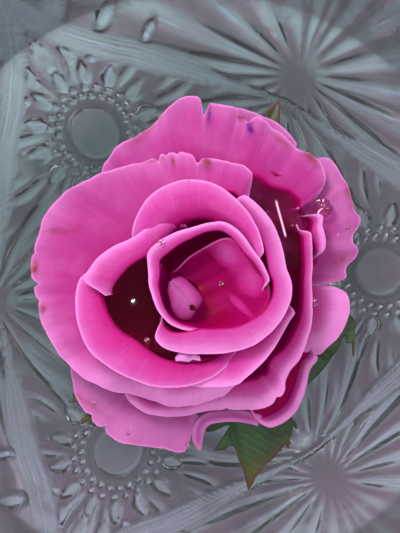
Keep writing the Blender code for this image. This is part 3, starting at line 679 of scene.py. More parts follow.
# Petals from the outside in. The rim runs through azimuth in degrees, reach from the bloom's axis and
# rise above the water. lip: how far the face runs inward from the rim before it turns down, along the rim;
# drop: how far it falls on the way (below 0 it climbs); crest: rise of its middle over the rim; bulge: belly
# past the waist; belly: its share of the height; foot: reach and rise inside the heart; ruffle: waves of the
# rim; tone and dull: deeper and duller pink, along the rim; notches: azimuth, width and depth of tears.
petals = {
    "floor": dict(
        rim=((211, 44, 2.6), (218, 49, 2.8), (230, 53, 2.8), (245, 54.5, 3), (258, 53, 3), (266, 52.6, 3.6),
             (270.5, 50, 4.6)), lip=(16, 19, 15), drop=-1.5, crest=0.7, bulge=-10, belly=0.78,
        foot=(7, -6.5), ruffle=0.5, tone=(-0.5,), dull=(0.9,), notches=((232, 1, 1.2), (238, 0.8, 1.6))),
    "rightLower": dict(
        rim=((324.4, 42.7, 3.8), (326.8, 43.7, 4), (329.8, 44.5, 4.2), (334.2, 45.7, 4.4),
             (339.3, 47.4, 4.6), (343.9, 48.2, 4.6), (348.8, 48.5, 4.6), (352.5, 48.2, 4.6),
             (354.9, 47.2, 4.4), (357.8, 45.5, 4.2), (359.8, 43.4, 3.8)), lip=(8, 12, 12, 12, 10), drop=-1,
        crest=0.6, bulge=-10, belly=0.78, foot=(7, -6.5), ruffle=0.3, tone=(-0.45,), dull=(0.15,)),
    "rightUpper": dict(
        rim=((358.1, 43.3, 5), (359, 45.1, 5), (361.3, 46.8, 5.2), (364, 46.4, 5.4), (366.5, 47.2, 5.6),
             (368.4, 49.5, 6), (370.8, 50.6, 6.2), (373.8, 49.4, 6.4), (376.6, 50.4, 6.4),
             (378.2, 52.6, 6.4), (380.5, 54.2, 6.6), (384.1, 53.6, 6.8), (388.1, 54.4, 6.8),
             (392, 55.2, 6.8), (397.1, 55.7, 6.6), (401.2, 55.7, 6.2), (404.7, 53.9, 5.6),
             (408.6, 51, 5.2)), lip=(10, 13, 15, 16, 14), drop=-1, crest=0.8, bulge=-10, belly=0.78,
        foot=(7, -6), ruffle=0.45, tone=(-0.3,), dull=(1.1,)),
    "topBack": dict(
        rim=((409, 51, 6.6), (420, 54, 7.2), (431, 55, 7.6), (441, 54, 7.6), (449, 50.5, 7.2)),
        lip=(12, 15, 12), drop=0, crest=0.5, bulge=-10, belly=0.78, foot=(7, -5.5), ruffle=0.3, tone=(0.3,),
        dull=(0.8,)),
    "rightCorner": dict(
        rim=((292.4, 41.7, 9.4), (292.8, 43.6, 9.2), (293.7, 45.8, 8.2), (295, 48.2, 7.2),
             (297.3, 50.2, 6.6), (301.1, 50.9, 6.4), (305.9, 50.6, 6.4), (309.8, 49.6, 6.4),
             (313.2, 48.2, 6.6), (316.9, 46.4, 6.8), (320.8, 44.9, 6.8), (324.3, 44.4, 6.6),
             (327.9, 44.6, 6.2), (330.4, 43.6, 5.6), (332.2, 42, 5)), lip=(2.4, 3.6, 4.2, 4.2, 3.6, 3),
        drop=1.4, crest=0.5, bulge=-9, belly=0.8, foot=(7, -5.5), ruffle=0.25, tone=(-0.35,), dull=(0.1,)),
    "top": dict(
        rim=((37.5, 40.6, 10.4), (35.2, 42.6, 10.6), (35, 45.5, 10.8), (37.4, 49.4, 11), (41, 51.8, 11.2),
             (45, 52.6, 11.2), (53, 50.8, 11.4), (61, 51.6, 11.8), (69, 54, 11.8), (82, 54, 12),
             (93, 56, 12), (101, 52, 12), (110, 47.8, 11.8), (121, 47, 11), (129, 44.5, 10),
             (135, 41.5, 9)), lip=(2.4, 12.6, 14.4, 19.5, 20, 16, 12, 9), drop=-2, crest=0.8, bulge=-8,
        foot=(7, -4.5), ruffle=0.6, tone=(0.35,), dull=(0.9, 0.8, 0.9, 1),
        notches=((87, 0.9, 5.5), (72, 1.6, 3.2), (75, 0.7, 4.5))),
    "bigLeft": dict(
        rim=((57, 34.5, 16), (66, 37.3, 17), (82, 37.2, 17), (97, 39, 16.4), (110, 39, 15.8),
             (122, 41, 14.8), (134, 44.3, 14), (146, 47.3, 13), (157, 50, 12), (167, 50, 11.2),
             (176, 50.2, 11), (184, 48.6, 11), (192, 47.8, 11.4), (204, 47.6, 12.2), (215, 45.6, 12.6),
             (228, 42.5, 13.4), (241, 38.8, 14.4), (254, 38.4, 15.2), (268, 36.8, 15.8), (283, 35, 16.4),
             (298, 32.5, 16.6)), lip=(8, 9.5, 13, 20, 25.5, 21.5, 16, 14.7, 13, 9, 8, 6), drop=-4.5,
        crest=1.3, bulge=-3, foot=(7, -3), ruffle=0.55, tone=(0.4, 0.4, 0.4, 0.35, 0, -0.5, -0.6),
        dull=(0.9, 0.9, 0.9, 0.8, 0.4, 0, 0),
        notches=((107, 0.7, 2), (89, 1, 2.6), (103, 0.5, 0.9), (98, 0.5, 0.8), (180.5, 0.7, 2.2),
                 (170, 0.5, 0.8), (187, 0.8, 1))),
    "rightStrip": dict(
        rim=((8.7, 37.6, 12), (11.1, 38.7, 13.4), (14.2, 40.1, 14.8), (17.3, 41.1, 15.2),
             (20.7, 41.5, 15.2), (23.7, 41.8, 15), (26.6, 43, 14.6), (29.2, 43, 14), (31.2, 41.6, 13.2),
             (32.6, 40.2, 12.2)), lip=(1.4, 3, 3.6, 3.2, 2.2), drop=1.6, crest=0.3, bulge=-4, foot=(7, -2),
        ruffle=0.12, tone=(-0.2,), dull=(0.3,)),
    "rightInner": dict(
        rim=((234, 38, 8.2), (236, 40.4, 8.6), (239.6, 41.4, 9), (245, 42.3, 9.4), (250.2, 42.8, 9.6),
             (255.2, 42.3, 9.8), (261.3, 41.3, 10), (267.7, 40.5, 10.4), (272.5, 39.6, 11),
             (281.8, 39.8, 12), (289.3, 40.9, 12.6), (295.5, 42.6, 13.4), (299.4, 43.3, 14),
             (303.7, 43.3, 14.6), (307.2, 43, 15), (309.7, 42, 15.2), (312, 40.2, 15.4),
             (316.4, 39.1, 15.6), (322.9, 39.2, 15.8), (330.3, 38.2, 16.2), (338.1, 37, 16.6),
             (345.5, 36.1, 17), (353.1, 35.1, 17.4), (359.9, 34.7, 17.8), (366.8, 35.2, 18),
             (372.4, 36, 18), (378, 36.7, 18), (383.5, 37.4, 17.8), (389.6, 38.1, 17)),
        lip=(4.5, 5, 5.5, 6, 8, 9.5, 7.5, 5.6, 4.2, 3, 2.4, 2.6, 2.6), drop=0.4, crest=0.5, bulge=-3.5,
        foot=(7, -1.5), ruffle=0.25, tone=(-0.1, -0.4, -0.3, -0.1, 0.1, 0.1), dull=(0.2, 0, 0, 0.15, 0.3),
        notches=((305, 0.8, 0.9), (284, 0.6, 0.5))),
    "lowerRight": dict(
        rim=((258, 28.5, 23), (268, 30.6, 24.6), (279, 31.2, 25.6), (288, 31.9, 26), (293.5, 32.3, 26.2),
             (297, 31.8, 26.2), (304, 31.1, 26.2), (313, 30.6, 26), (326.7, 29.8, 26), (338, 30, 25.6),
             (345, 31, 25), (351, 30.6, 24)), lip=(7, 8, 8.5, 8.5, 7.5, 5, 3.4, 3, 3), drop=0.6, crest=0.15,
        bulge=-3, foot=(7, 0), ruffle=0.12, tone=(0.1,), dull=(0,)),
    "lowerLeft": dict(
        rim=((168, 27, 23.6), (172, 30, 24.6), (177, 33, 25.6), (182, 34.4, 26.2), (188, 35.2, 26.8),
             (195.6, 36, 27.4), (202, 36.6, 28), (213, 36.7, 28.4), (224, 35.4, 28.4), (240, 33.3, 28),
             (256, 31.8, 27.5), (272, 29.6, 26.8), (287, 27, 26.2), (298, 24.6, 25.6), (309, 23, 25),
             (319, 21.8, 24.4)), lip=(4, 7, 9.5, 11, 9, 7, 5, 3, 2), drop=0.8, crest=0.4, bulge=0.5,
        foot=(7, 0.5), ruffle=0.2, tone=(0.35, 0.5, 0.45), dull=(0.1,)),
    "leftFold": dict(
        rim=((93, 16.8, 26.6), (97.5, 17.6, 27.6), (102, 18.4, 28.6), (109.8, 19.6, 29.2),
             (120.2, 20.3, 29.8), (130.9, 20.9, 30.2), (139.8, 21.8, 30.5), (147.7, 23.2, 30.8),
             (155.8, 25.7, 30.8), (164.5, 28.6, 30.4), (172, 30.6, 30), (179, 32.6, 29.4),
             (184.4, 33.8, 28.8), (188.4, 33.8, 28.2)), lip=(1.6, 3, 5, 6.5, 8, 9, 9.5, 9), drop=1.2,
        crest=0.35, bulge=0.5, foot=(7, 1), ruffle=0.2, tone=(0.3,), dull=(0.1,)),
    "crown": dict(
        rim=((14, 21, 29.6), (27, 22.2, 31.4), (40, 23.6, 32.2), (55, 25.6, 33), (69, 27.7, 33.2),
             (82, 29.2, 33.2), (95, 29.7, 33.2), (107, 29.2, 33), (118, 28, 32.4), (128, 26.3, 31.4),
             (138, 24.4, 29.8), (146, 22.3, 28), (154, 20.2, 26)), lip=(3, 6, 9.5, 12, 11, 7), drop=4.2,
        crest=-0.4, bulge=1, foot=(7, 1.5), ruffle=0.15, tone=(0.5,), dull=(0.05,)),
    "sweep": dict(
        rim=((226, 18, 25.6), (234, 20, 27.4), (244, 21, 29), (258, 21, 29.8), (274, 20.8, 30),
             (289, 21.8, 30), (304, 23.6, 30.3), (319, 25.5, 30.7), (333, 27, 31), (347, 28, 31),
             (359, 27.8, 31), (370, 26.7, 31), (383, 27.2, 31), (397, 28.2, 31), (411, 29, 30.8),
             (422, 29.2, 29.6), (430, 28.6, 28)), lip=(4, 5.6, 7.5, 7.2, 5.6, 5, 5, 3.5), drop=1.2,
        crest=0.15, bulge=1, foot=(7, 2.5), ruffle=0.15, tone=(-0.15,), dull=(0.6,)),
    "cupLip": dict(
        rim=((347, 20.6, 27.6), (359, 21.8, 29), (373, 20.5, 30.4), (391, 19.3, 31.2), (409, 19.6, 32),
             (424, 19.4, 32.2), (436, 17.7, 32.2), (453, 15.9, 32), (475, 15.5, 31.8), (492, 15.9, 31.2),
             (508, 16.2, 30.6), (518, 15, 30.2), (530, 13.8, 30), (545, 13.3, 30), (560, 13, 30),
             (582, 13.7, 29.5), (597, 14.1, 29), (612, 14.2, 28.5), (631, 14.5, 27.8), (648, 15.6, 26.8)),
        lip=(1.6, 1.8, 2.6, 2.6, 2.6, 3.4, 4.2, 3.7, 2.5, 2.1, 1.6, 1.1, 0.9), drop=1, crest=0.05, bulge=1,
        foot=(6.5, 4), ruffle=0.12, tone=(-0.1,), dull=(0.25,)),
}
petalValues = {
    "thickness": 0.42,
    "step": 0.9,
    "rows": 40,
    "corner": 5.0,
    "footSpread": 0.72,
    "bellyShare": 0.52,
    "bend": 1.4,
    "rowPower": 1.6,
    "edgeCell": 0.15,
    "linePoints": 600,
    "cornerDip": 0.16,
    "waves": ((31.0, 1.0), (17.0, 0.7), (9.5, 0.45), (5.2, 0.22), (3.1, 0.12)),   # length, share
    "profilePoints": 81,
}
roundSteps = 64
heart = ((0, 13), (4, 12.5), (8, 9), (10, 3), (9.5, -4), (8, -7), (6, -9.7), (0, -9.7))

# The bud's two lobes meet in a slit; each runs from the slit over its crown to its outline, in millimetres
# from the bloom's axis
budSlit = ((-7, 0.3), (-6.3, -0.8), (-4.5, -2.6), (-2.7, -5.3), (-1.3, -7.2), (-0.4, -7.9))
budLobes = {
    "budLeft": dict(
        outline=((-7.6, 0.2), (-8.1, -2.6), (-7.5, -5.3), (-6.6, -8.6), (-4.5, -10.9), (-1.6, -10.9),
                 (0.2, -8.8)), top=25.4),
    "budRight": dict(
        outline=((-6.8, 0.9), (-3.9, 1.4), (-1, -0.9), (1.1, -3.2), (2.1, -5.3), (1.2, -7.1), (0.1, -8)),
        top=25.8),
}
budHole = np.array((-0.9, -7.4))
lobeValues = {
    "columns": 40,
    "rows": 24,
    "topShare": 0.7,
    "shoulder": 2.4,
    "slitDepth": 0.7,
    "skirt": 9.0,
    "skirtShare": 0.43,
}

# Bruises and torn places: petal, place in millimetres from the axis, size, turn in degrees, strength (below
# 0 violet)
stains = (
    ("top", (-15.9, 45.1), (5, 1.8), 45, 0.55), ("top", (4.1, 50.5), (0.7, 3.4), 0, -0.7),
    ("top", (14.4, 50), (2, 1.4), 0, 0.9), ("top", (16.6, 46.5), (1, 2.6), 15, -0.9),
    ("top", (34.8, 37.8), (4, 1.3), -50, 0.6), ("top", (26, 42.5), (3, 0.9), -40, 0.4),
    ("bigLeft", (-41.5, 15.3), (6, 1), 0, 0.45), ("bigLeft", (-48.7, 4.1), (1.3, 2.6), 0, 0.75),
    ("bigLeft", (-46, -8.2), (1.6, 1.4), 30, 0.6), ("bigLeft", (-6.7, 35.6), (0.5, 1.7), 0, 0.8),
    ("bigLeft", (3.5, 35.3), (1.1, 1.8), 20, 0.95), ("bigLeft", (15.1, -37.8), (1.6, 0.9), 0, 0.6),
    ("bigLeft", (-12, 36.5), (5, 0.5), 12, 0.4), ("rightUpper", (47.4, 26.5), (1.3, 6), 15, 0.5),
    ("rightUpper", (44.5, 6.5), (3, 1.4), 60, 0.5), ("floor", (-34, -37), (8, 0.8), -35, 0.35),
)


def stainAt(name, flat):
    total = np.zeros(len(flat))
    for petal, centre, size, azimuth, strength in stains:
        if petal == name:
            total += strength * np.exp(-ovalSquared(flat, centre, size, azimuth))
    return total


def petalProfile(petal, lip, reach, rise):
    # from the foot over the belly and the waist to the rim
    p = petalValues
    foot = np.array(petal["foot"], float)
    waist = np.array((reach - lip, rise - petal["drop"]))
    bellyRise = foot[1] + petal.get("belly", p["bellyShare"]) * (waist[1] - foot[1])
    belly = np.array((waist[0] + petal["bulge"], bellyRise))
    middle = np.array((reach - 0.45 * lip, rise + petal["crest"] - 0.18 * min(petal["drop"], 0)))
    under = waist + (waist - belly) / max(np.linalg.norm(waist - belly), 1e-6) * -p["bend"]
    return smoothLine((foot, belly, under, waist, middle, (reach, rise)), p["profilePoints"])


def petalMesh(name, petal):
    # a grid bent over its profiles, with the rim's waves, tears and rounded corners
    p = petalValues
    rim = np.array(petal["rim"], float)
    length = np.linalg.norm(np.diff(heading(rim[:, 0]) * rim[:, 1:2], axis=0), axis=1).sum()
    scale = length / (rim[-1, 0] - rim[0, 0])
    columns = max(24, round(length / p["step"]))
    along = np.linspace(0, length, columns + 1)
    along[1], along[-2] = p["edgeCell"], length - p["edgeCell"]
    fine = smoothLine(rim * (scale, 1, 1), p["linePoints"]) / (scale, 1, 1)
    shares = np.linspace(0, 1, p["linePoints"])
    rim = np.stack([np.interp(along / length, shares, fine[:, k]) for k in range(3)], axis=1)
    lips = smoothLine([(k, width) for k, width in enumerate(petal["lip"])], 200)
    lips = np.interp(along / length * (len(petal["lip"]) - 1), lips[:, 0], lips[:, 1])
    rng = random.Random(name)
    wave, sway = np.zeros(columns + 1), np.zeros(columns + 1)
    for wavelength, share in p["waves"]:
        wave += share * np.sin(along / wavelength * math.tau + rng.uniform(0, math.tau))
        sway += share * np.sin(along / wavelength * math.tau + rng.uniform(0, math.tau))
    torn = np.zeros(columns + 1)
    for azimuth, width, depth in petal.get("notches", ()):
        torn = np.maximum(torn, depth * np.exp(-((rim[:, 0] - azimuth) * scale / width) ** 2))
    profiles = np.array([petalProfile(petal, lip, *place) for lip, place in zip(lips, rim[:, 1:])])
    lipLength = np.hypot(lips, petal["drop"])
    profileLength = np.linalg.norm(np.diff(profiles, axis=1), axis=2).sum(axis=1)

    mesh, column, _, up = gridMesh(name, columns, p["rows"])
    level = 1 - (1 - up) ** p["rowPower"]
    fromEnd = np.minimum(along[column], length - along[column])
    rounded = 1 - p["cornerDip"] * (1 - smoothStep(fromEnd / p["corner"]))
    height = level * rounded * (1 - torn[column] / profileLength[column])
    steps = p["profilePoints"] - 1
    low = np.clip(np.floor(height * steps).astype(int), 0, steps - 1)
    part = (height * steps - low)[:, None]
    point = profiles[column, low] * (1 - part) + profiles[column, low + 1] * part
    nearRim = smoothStep(height, 0.55, 1.0)
    reach = point[:, 0] + petal["ruffle"] * 0.6 * sway[column] * nearRim
    rise = point[:, 1] + petal["ruffle"] * wave[column] * nearRim**1.5
    middle = rim[:, 0].mean()
    spread = p["footSpread"] + (1 - p["footSpread"]) * smoothStep(height * 2)
    flat = heading(middle + (rim[column, 0] - middle) * spread) * reach[:, None]
    setOnBloom(mesh, flat, rise)
    fromRim = (1 - level) * profileLength[column]
    share = along[column] / length
    tone, dull = (np.interp(share, np.linspace(0, 1, len(petal[key])), petal[key])
                  for key in ("tone", "dull"))
    # depth: how far past the rim, towards which the colour turns deeper, partly the petal's own deeper colour
    # and partly painted shade between the petals
    setAttributes(mesh, along=along[column], fromRim=fromRim, depth=fromRim / lipLength[column], tone=tone,
                  dull=dull, stain=stainAt(name, flat))
    return mesh


def lobeMesh(name, lobe):
    # a rounded lobe of the bud: from the slit over its crown, down to its outline and on as a skirt
    v = lobeValues
    mesh, column, across, up = gridMesh(name, v["columns"], v["rows"])
    slit = smoothLine(budSlit, v["columns"] + 1)[column]
    outline = smoothLine(lobe["outline"], v["columns"] + 1)[column]
    share = up / v["topShare"]
    onTop = np.minimum(share, 1)
    place = slit + (outline - slit) * (1 - (1 - onTop) ** 1.25)[:, None]
    rise = lobe["top"] - v["shoulder"] * onTop**2.6 - v["slitDepth"] * (1 - smoothStep(onTop / 0.16))
    rise -= v["skirt"] * np.maximum(share - 1, 0) / v["skirtShare"]
    setOnBloom(mesh, place, rise)
    # painted shade: a dark dot at the bud's hole, carried with the stains
    hole = 4 * np.exp(-(np.hypot(*(place - budHole).T) / 0.8) ** 4)
    setAttributes(mesh, along=across * 12, fromRim=up * 10, depth=0.15 + 0.9 * onTop**2, tone=0.2, dull=1.1,
                  stain=hole)
    return mesh


# The inside of the cup: a hollow from under its lips (azimuth, reach, rise) down to the bud, with spots of
# lighter and deeper pink, the lighter ones painted highlights and the deeper ones painted shade with the
# petal's own deeper pink: place and size in millimetres, turn in degrees, change of depth
cup = {
    "rim": ((150, 11.4, 25), (164, 11, 26), (180, 10.8, 26.6), (205, 11.4, 26.6), (225, 12.6, 26.4),
            (245, 13, 26), (262, 13, 25.6), (276, 13.8, 25.4), (288, 15.4, 26), (304, 17, 27.6),
            (322, 19.4, 28.4), (337, 21.6, 28.6), (350, 22.2, 28), (362, 21, 27.6), (378, 18.8, 28),
            (396, 17.2, 28.6), (410, 16.6, 28.6), (418, 15, 27.8), (424, 13.2, 26.8), (432, 11, 26),
            (446, 8.9, 25.4), (462, 7.6, 24.8), (478, 6.8, 24.2), (497, 6.4, 23.4), (512, 6.9, 22.6),
            (524, 8, 22)),
    "budCentre": (-3.3, -4.4),
    "budSize": (4.6, 5.2),
    "slowing": 4,               # the azimuths are scaled down so that the rim's curve stays even
    "floor": 17.5,
    "rows": 30,
    "columns": 150,
    "hollow": 1.9,
    "fold": 0.25,
    "spots": (((9.4, 8.6), (4.6, 2.6), -35, -0.7), ((16.4, 0.6), (3, 4.2), 10, -0.5),
              ((13.2, -7), (4, 1.2), -45, -0.45), ((6, -11), (8.5, 3.4), 8, 0.4),
              ((2.6, -5), (2.4, 5.5), 15, 0.2), ((-8.7, 0.6), (1.8, 1.8), 0, 0.9),
              ((-10.2, -6), (1.1, 4.5), 8, 0.6), ((17.6, 5), (0.7, 3.2), 25, 0.6),
              ((3, -3), (2.5, 5), 50, 0.25)),
}


def cupMesh(name):
    c = cup
    mesh, column, across, up = gridMesh(name, c["columns"], c["rows"])
    rim = smoothLine(np.array(c["rim"]) / (c["slowing"], 1, 1), c["columns"] + 1)[column]
    way = heading(rim[:, 0] * c["slowing"])
    outer, inner = way * rim[:, 1:2], np.array(c["budCentre"]) + np.array(c["budSize"]) * way
    flat = outer + (inner - outer) * up[:, None]
    fold = np.sin((flat[:, 0] * 0.7 - flat[:, 1]) * 1.1 + 3 * up) * smoothStep(up, 0.2, 0.9)
    rise = rim[:, 2] - (rim[:, 2] - c["floor"]) * (1 - (1 - up) ** c["hollow"]) + c["fold"] * fold
    setOnBloom(mesh, flat, rise)
    # deeper towards the bud, partly painted shade down the hollow, with the spots' painted highlights and
    # shade
    depth = 0.98 + 0.25 * up
    for centre, size, azimuth, change in c["spots"]:
        depth += change * np.exp(-ovalSquared(flat, centre, size, azimuth) * 1.2)
    setAttributes(mesh, along=across * 90, fromRim=0.4 + up * 12, depth=depth, tone=0.3)
    return mesh


# A torn scrap of petal by the left pool, from above in millimetres from the axis
scrapCell = 0.35
scrapRise = 27.6
scrap = ((-5.8, -22.1), (-4.9, -20.7), (-3.3, -20.2), (-1.5, -20.9), (-0.1, -20.4), (1.3, -21.6),
         (1.6, -22.9), (-0.6, -22.5), (-2.1, -23.2), (-3.9, -22.8), (-5.6, -23.1))

# The curled end of the petal beside the lower sepal: its middle line (place, rise) and half widths
curl = {
    "line": ((1.5, -51.9, 4.8), (0.8, -49.2, 6.2), (0.9, -46.5, 7.6), (1.6, -44, 8.8), (3.4, -42.2, 9.4),
             (6, -41.3, 9.9), (9.9, -40.9, 10.1), (13.6, -41.1, 9.8), (17, -41.8, 8.8), (19.6, -42.8, 7.6)),
    "halfWidths": (0.3, 1.4, 1.7, 1.75, 1.8, 1.8, 1.75, 1.7, 1.7, 1.5),
    "arch": 1.1,
    "skirt": 6,
    "columns": 90,
    "rows": 20,
}


def curlMesh(name):
    # a band arched across its width, with a skirt down from its inner edge
    c = curl
    mesh, column, across, up = gridMesh(name, c["columns"], c["rows"])
    line = smoothLine(c["line"], c["columns"] + 1)
    run = np.gradient(line[:, :2], axis=0)
    run /= np.linalg.norm(run, axis=1)[:, None]
    half = np.interp(across, np.linspace(0, 1, len(c["halfWidths"])), c["halfWidths"])
    side, skirt = np.minimum(up * 3 - 1, 1), np.clip(up * 3 - 2, 0, 1)
    left = np.stack([-run[column, 1], run[column, 0]], axis=1)
    ripple = 0.12 * np.sin(across * 40 + side)
    rise = line[column, 2] - c["arch"] * side**2 * half / 1.8 + ripple - c["skirt"] * skirt
    setOnBloom(mesh, line[column, :2] + left * (half * side)[:, None], rise)
    # painted shade: deeper pink down the skirt and towards both edges of the rolled band
    setAttributes(mesh, along=across * 30, fromRim=(1 - np.abs(side)) * half * 0.5,
                  depth=0.15 + 0.5 * skirt + 0.25 * np.abs(side) ** 3, tone=-0.2, dull=1.6)
    return mesh


def scrapMesh(name):
    mesh = cutSheet(name, scrap, scrapCell)
    flat = placesOf(mesh)[:, :2]
    _, fromEdge = nearestOnOutline(flat, np.array(scrap, float))
    setOnBloom(mesh, flat, scrapRise + 0.5 * np.sin(flat[:, 0] * 1.3) + 0.8 * smoothStep(fromEdge / 1.2))
    setAttributes(mesh, along=flat[:, 0], fromRim=fromEdge, depth=fromEdge * 0.1, tone=0)
    return mesh


def makeBloom(material):
    meshes = {name: petalMesh(name, petal) for name, petal in petals.items()}
    meshes |= {name: lobeMesh(name, lobe) for name, lobe in budLobes.items()}
    meshes |= {"cup": cupMesh("cup"), "curl": curlMesh("curl"), "scrap": scrapMesh("scrap")}
    made = []
    for name, mesh in meshes.items():
        piece = finishedPiece("petal" + name[0].upper() + name[1:], mesh, material, "petal", "bloom")
        made.append(thickened(piece, petalValues["thickness"]))
    profile = [(reach, waterLevel + rise) for reach, rise in heart[::-1]]
    mesh = meshOf("bloomHeart", spun(profile, roundSteps, bloomAxis))
    # painted shade and painted light: the hidden heart takes the darkest colour and the deep glow
    setAttributes(mesh, along=0, fromRim=20, depth=2, tone=1)
    made.append(finishedPiece("bloomHeart", mesh, material, "petal", "bloom"))
    return made


petalLook = {
    "rim": (0.8, 0.25, 0.62),
    "pale": (0.6, 0.12, 0.41),
    "face": (0.52, 0.04, 0.27),
    "deep": (0.46, 0.01, 0.18),
    # wine, throat and abyss: deeper colours down between the petals, partly their own deeper colour and
    # partly painted shade
    "wine": (0.29, 0.0, 0.075),
    "throat": (0.24, 0.0, 0.034),
    "abyss": (0.08, 0.0, 0.01),
    "dull": (0.3, 0.035, 0.19),
    # painted light: glow and the deep glow are faint emitted light that stands in for light through the
    # petals
    "glow": (0.03, 0.0, 0.014),
    "deepGlow": (0.03, 0.0, 0.003),
    "bruise": (0.24, 0.03, 0.02),
    "violet": (0.12, 0.005, 0.16),
    "veins": (1.0, 5.0, 0.65),
    "blotch": (70.0, 3.0),
    "mottle": (110.0, 3.0, 0.55),
    "crinkle": (420.0, 3.0, 0.6),
    "bump": (0.36, 0.0006),
}


def petalMaterial():
    look = petalLook
    material, wire, shader, place = newMaterial(
        "petalSkin", Roughness=0.5, IOR=1.4, Specular_IOR_Level=0.08, Emission_Strength=1.0,
        Subsurface_Weight=0.15, Subsurface_Radius=(1.0, 0.08, 0.4), Subsurface_Scale=0.001,
        Coat_IOR=1.25, Coat_Roughness=0.05)
    names = ("depth", "along", "fromRim", "tone", "dull", "stain")
    depth, along, fromRim, tone, dull, stain = attributes(wire, *names)
    streaks = wire.node("ShaderNodeCombineXYZ", values={0: along * 1.3, 1: fromRim * 0.1})
    veins = noise(wire, streaks, *look["veins"])
    blotch = noise(wire, place, *look["blotch"])
    mottle = noise(wire, place, *look["mottle"])
    crinkle = noise(wire, place, *look["crinkle"])
    rough = 0.5 + crinkle.between(0.3, 0.6)
    bright = mottle.between(0.4, 0.75) * 0.12 + veins.between(0.45, 0.3) * 0.1
    depth = depth + (blotch - 0.5) * 0.35
    shade = (depth * 0.8 + tone * 0.45).clipped()
    layers = (
        (shade.between(0.15, 0.55), "face"),
        (shade.between(0.45, 0.95), "deep"),
        ((dull * (0.3 + blotch * 0.5) * depth.between(1.1, 0.8)).clipped(), "dull"),
        (fromRim.between(0.9, 0.0) * 0.8, "rim"),
        # partly painted shade, with the petal's own deeper colour: wine, throat and abyss past the waist
        (depth.between(0.9, 1.04), "wine"),
        (depth.between(1.15, 1.5), "throat"),
        (depth.between(1.6, 2.8), "abyss"),
        (veins.between(0.5, 0.8) * 0.24, "deep"),
        (bright * depth.between(0.95, 0.6), "rim"),
        ((stain * rough).clipped(), "bruise"),
        # painted shade: the dark dot at the bud's hole
        (stain.between(1.0, 1.4), "abyss"),
        ((stain * -1.0 * rough).clipped(), "violet"),
    )
    body = mixed(wire, shade.between(0.0, 0.35), look["rim"], look["pale"])
    for share, colour in layers:
        body = mixed(wire, share, body, look[colour])
    feed(wire, shader, "Base Color", body)
    feed(wire, shader, "Coat Weight", depth.between(0.7, 1.0) * 0.1)
    # painted light: a faint glow in the deeper parts stands in for light through the petals
    glow = mixed(wire, depth.between(0.95, 1.2), (0, 0, 0), look["glow"])
    feed(wire, shader, "Emission Color", mixed(wire, depth.between(1.9, 3.4) * 0.6, glow, look["deepGlow"]))
    height = veins * 0.6 + blotch * 0.25 + crinkle * (0.12 + stain.clipped() * 0.5)
    bumped(wire, shader, height, *look["bump"])
    return material


# Sepals, hip and stem

# Outlines as seen from above, in millimetres from the bloom's axis; the first two points of each are at
# its root
sepals = {
    "lower": ((4, -6.5), (-3.5, -7.5), (3, -40), (2.2, -43.5), (3.6, -46.9), (6.3, -46.4), (9.4, -44.8),
              (11, -45), (10.3, -45.7), (8.2, -48.8), (6.5, -51.7), (4.6, -53.8), (5.8, -52.7),
              (8.6, -52.4), (10.5, -51.2), (11.8, -51.2), (12.7, -52.6), (13.2, -55.2), (14.1, -56.7),
              (15.1, -59.3), (15.8, -62.6), (16.5, -65.2), (17.9, -62.9), (18.9, -60.7), (20.6, -58.6),
              (22, -56.7), (23.9, -55.5), (25.1, -53.6), (26.7, -52.4), (27.7, -50.2), (28.6, -51.7),
              (28.9, -53.3), (29.4, -48.8), (30.1, -46.9), (30.3, -45), (31.8, -46.4), (32.4, -47.4),
              (31.3, -44.5), (29.6, -41.9), (22, -36)),
    "right": ((3, -7), (6.5, -2), (34.1, -13.6), (41.8, -8.9), (48, -10.2), (49.5, -12.2), (49.5, -17),
              (49.3, -27.3), (48.5, -19.1), (47.1, -19.4), (46.7, -17), (45.6, -17.6), (44.8, -20.6),
              (42.4, -23.6), (40.5, -26.5), (38.1, -29.1), (35.2, -31.8), (34.3, -32), (33, -28.2),
              (26, -22)),
    "top": ((6, 3), (0.5, 6.5), (17, 40), (20.7, 48.6), (21.4, 50.3), (21.7, 52), (22.3, 53.3),
            (23.6, 53.9), (24.1, 55.1), (25, 55.7), (26.1, 57.1), (26.2, 54.4), (26.3, 51.5), (26.2, 49.8),
            (26.7, 47.7), (25.5, 38)),
    "left": ((-2, -6.5), (-6, -3), (-26.6, -30.7), (-34, -34.6), (-35.6, -36), (-36.5, -35.2), (-38, -35.8),
             (-38.2, -37), (-40.1, -37.4), (-39.8, -37.7), (-38, -37.6), (-35.4, -37.6), (-33.4, -40),
             (-34.4, -42.2), (-35.6, -42.7), (-35.8, -43.9), (-35.4, -44.6), (-34.4, -44.1), (-33.1, -43.1),
             (-32.8, -44.5), (-31.3, -45.3), (-29.7, -43.4), (-20, -36)),
    "hidden": ((-3.5, 6.5), (-6.5, 1), (-29.5, 14), (-33.5, 18.5), (-36.5, 25.2), (-32, 26), (-26, 25.5)),
}
sepalValues = {
    "cell": 0.55,
    "thickness": 0.5,
    "root": (5.0, -11.6),
    "slope": 0.468,
    "rise": 0.7,
    "midrib": 0.5,
    "ripple": 0.05,
    "hip": ((0, -9.8), (6.4, -10), (7.4, -12.5), (7, -17), (4.2, -22.5), (2.6, -25.5), (2.4, -34), (0, -34)),
}


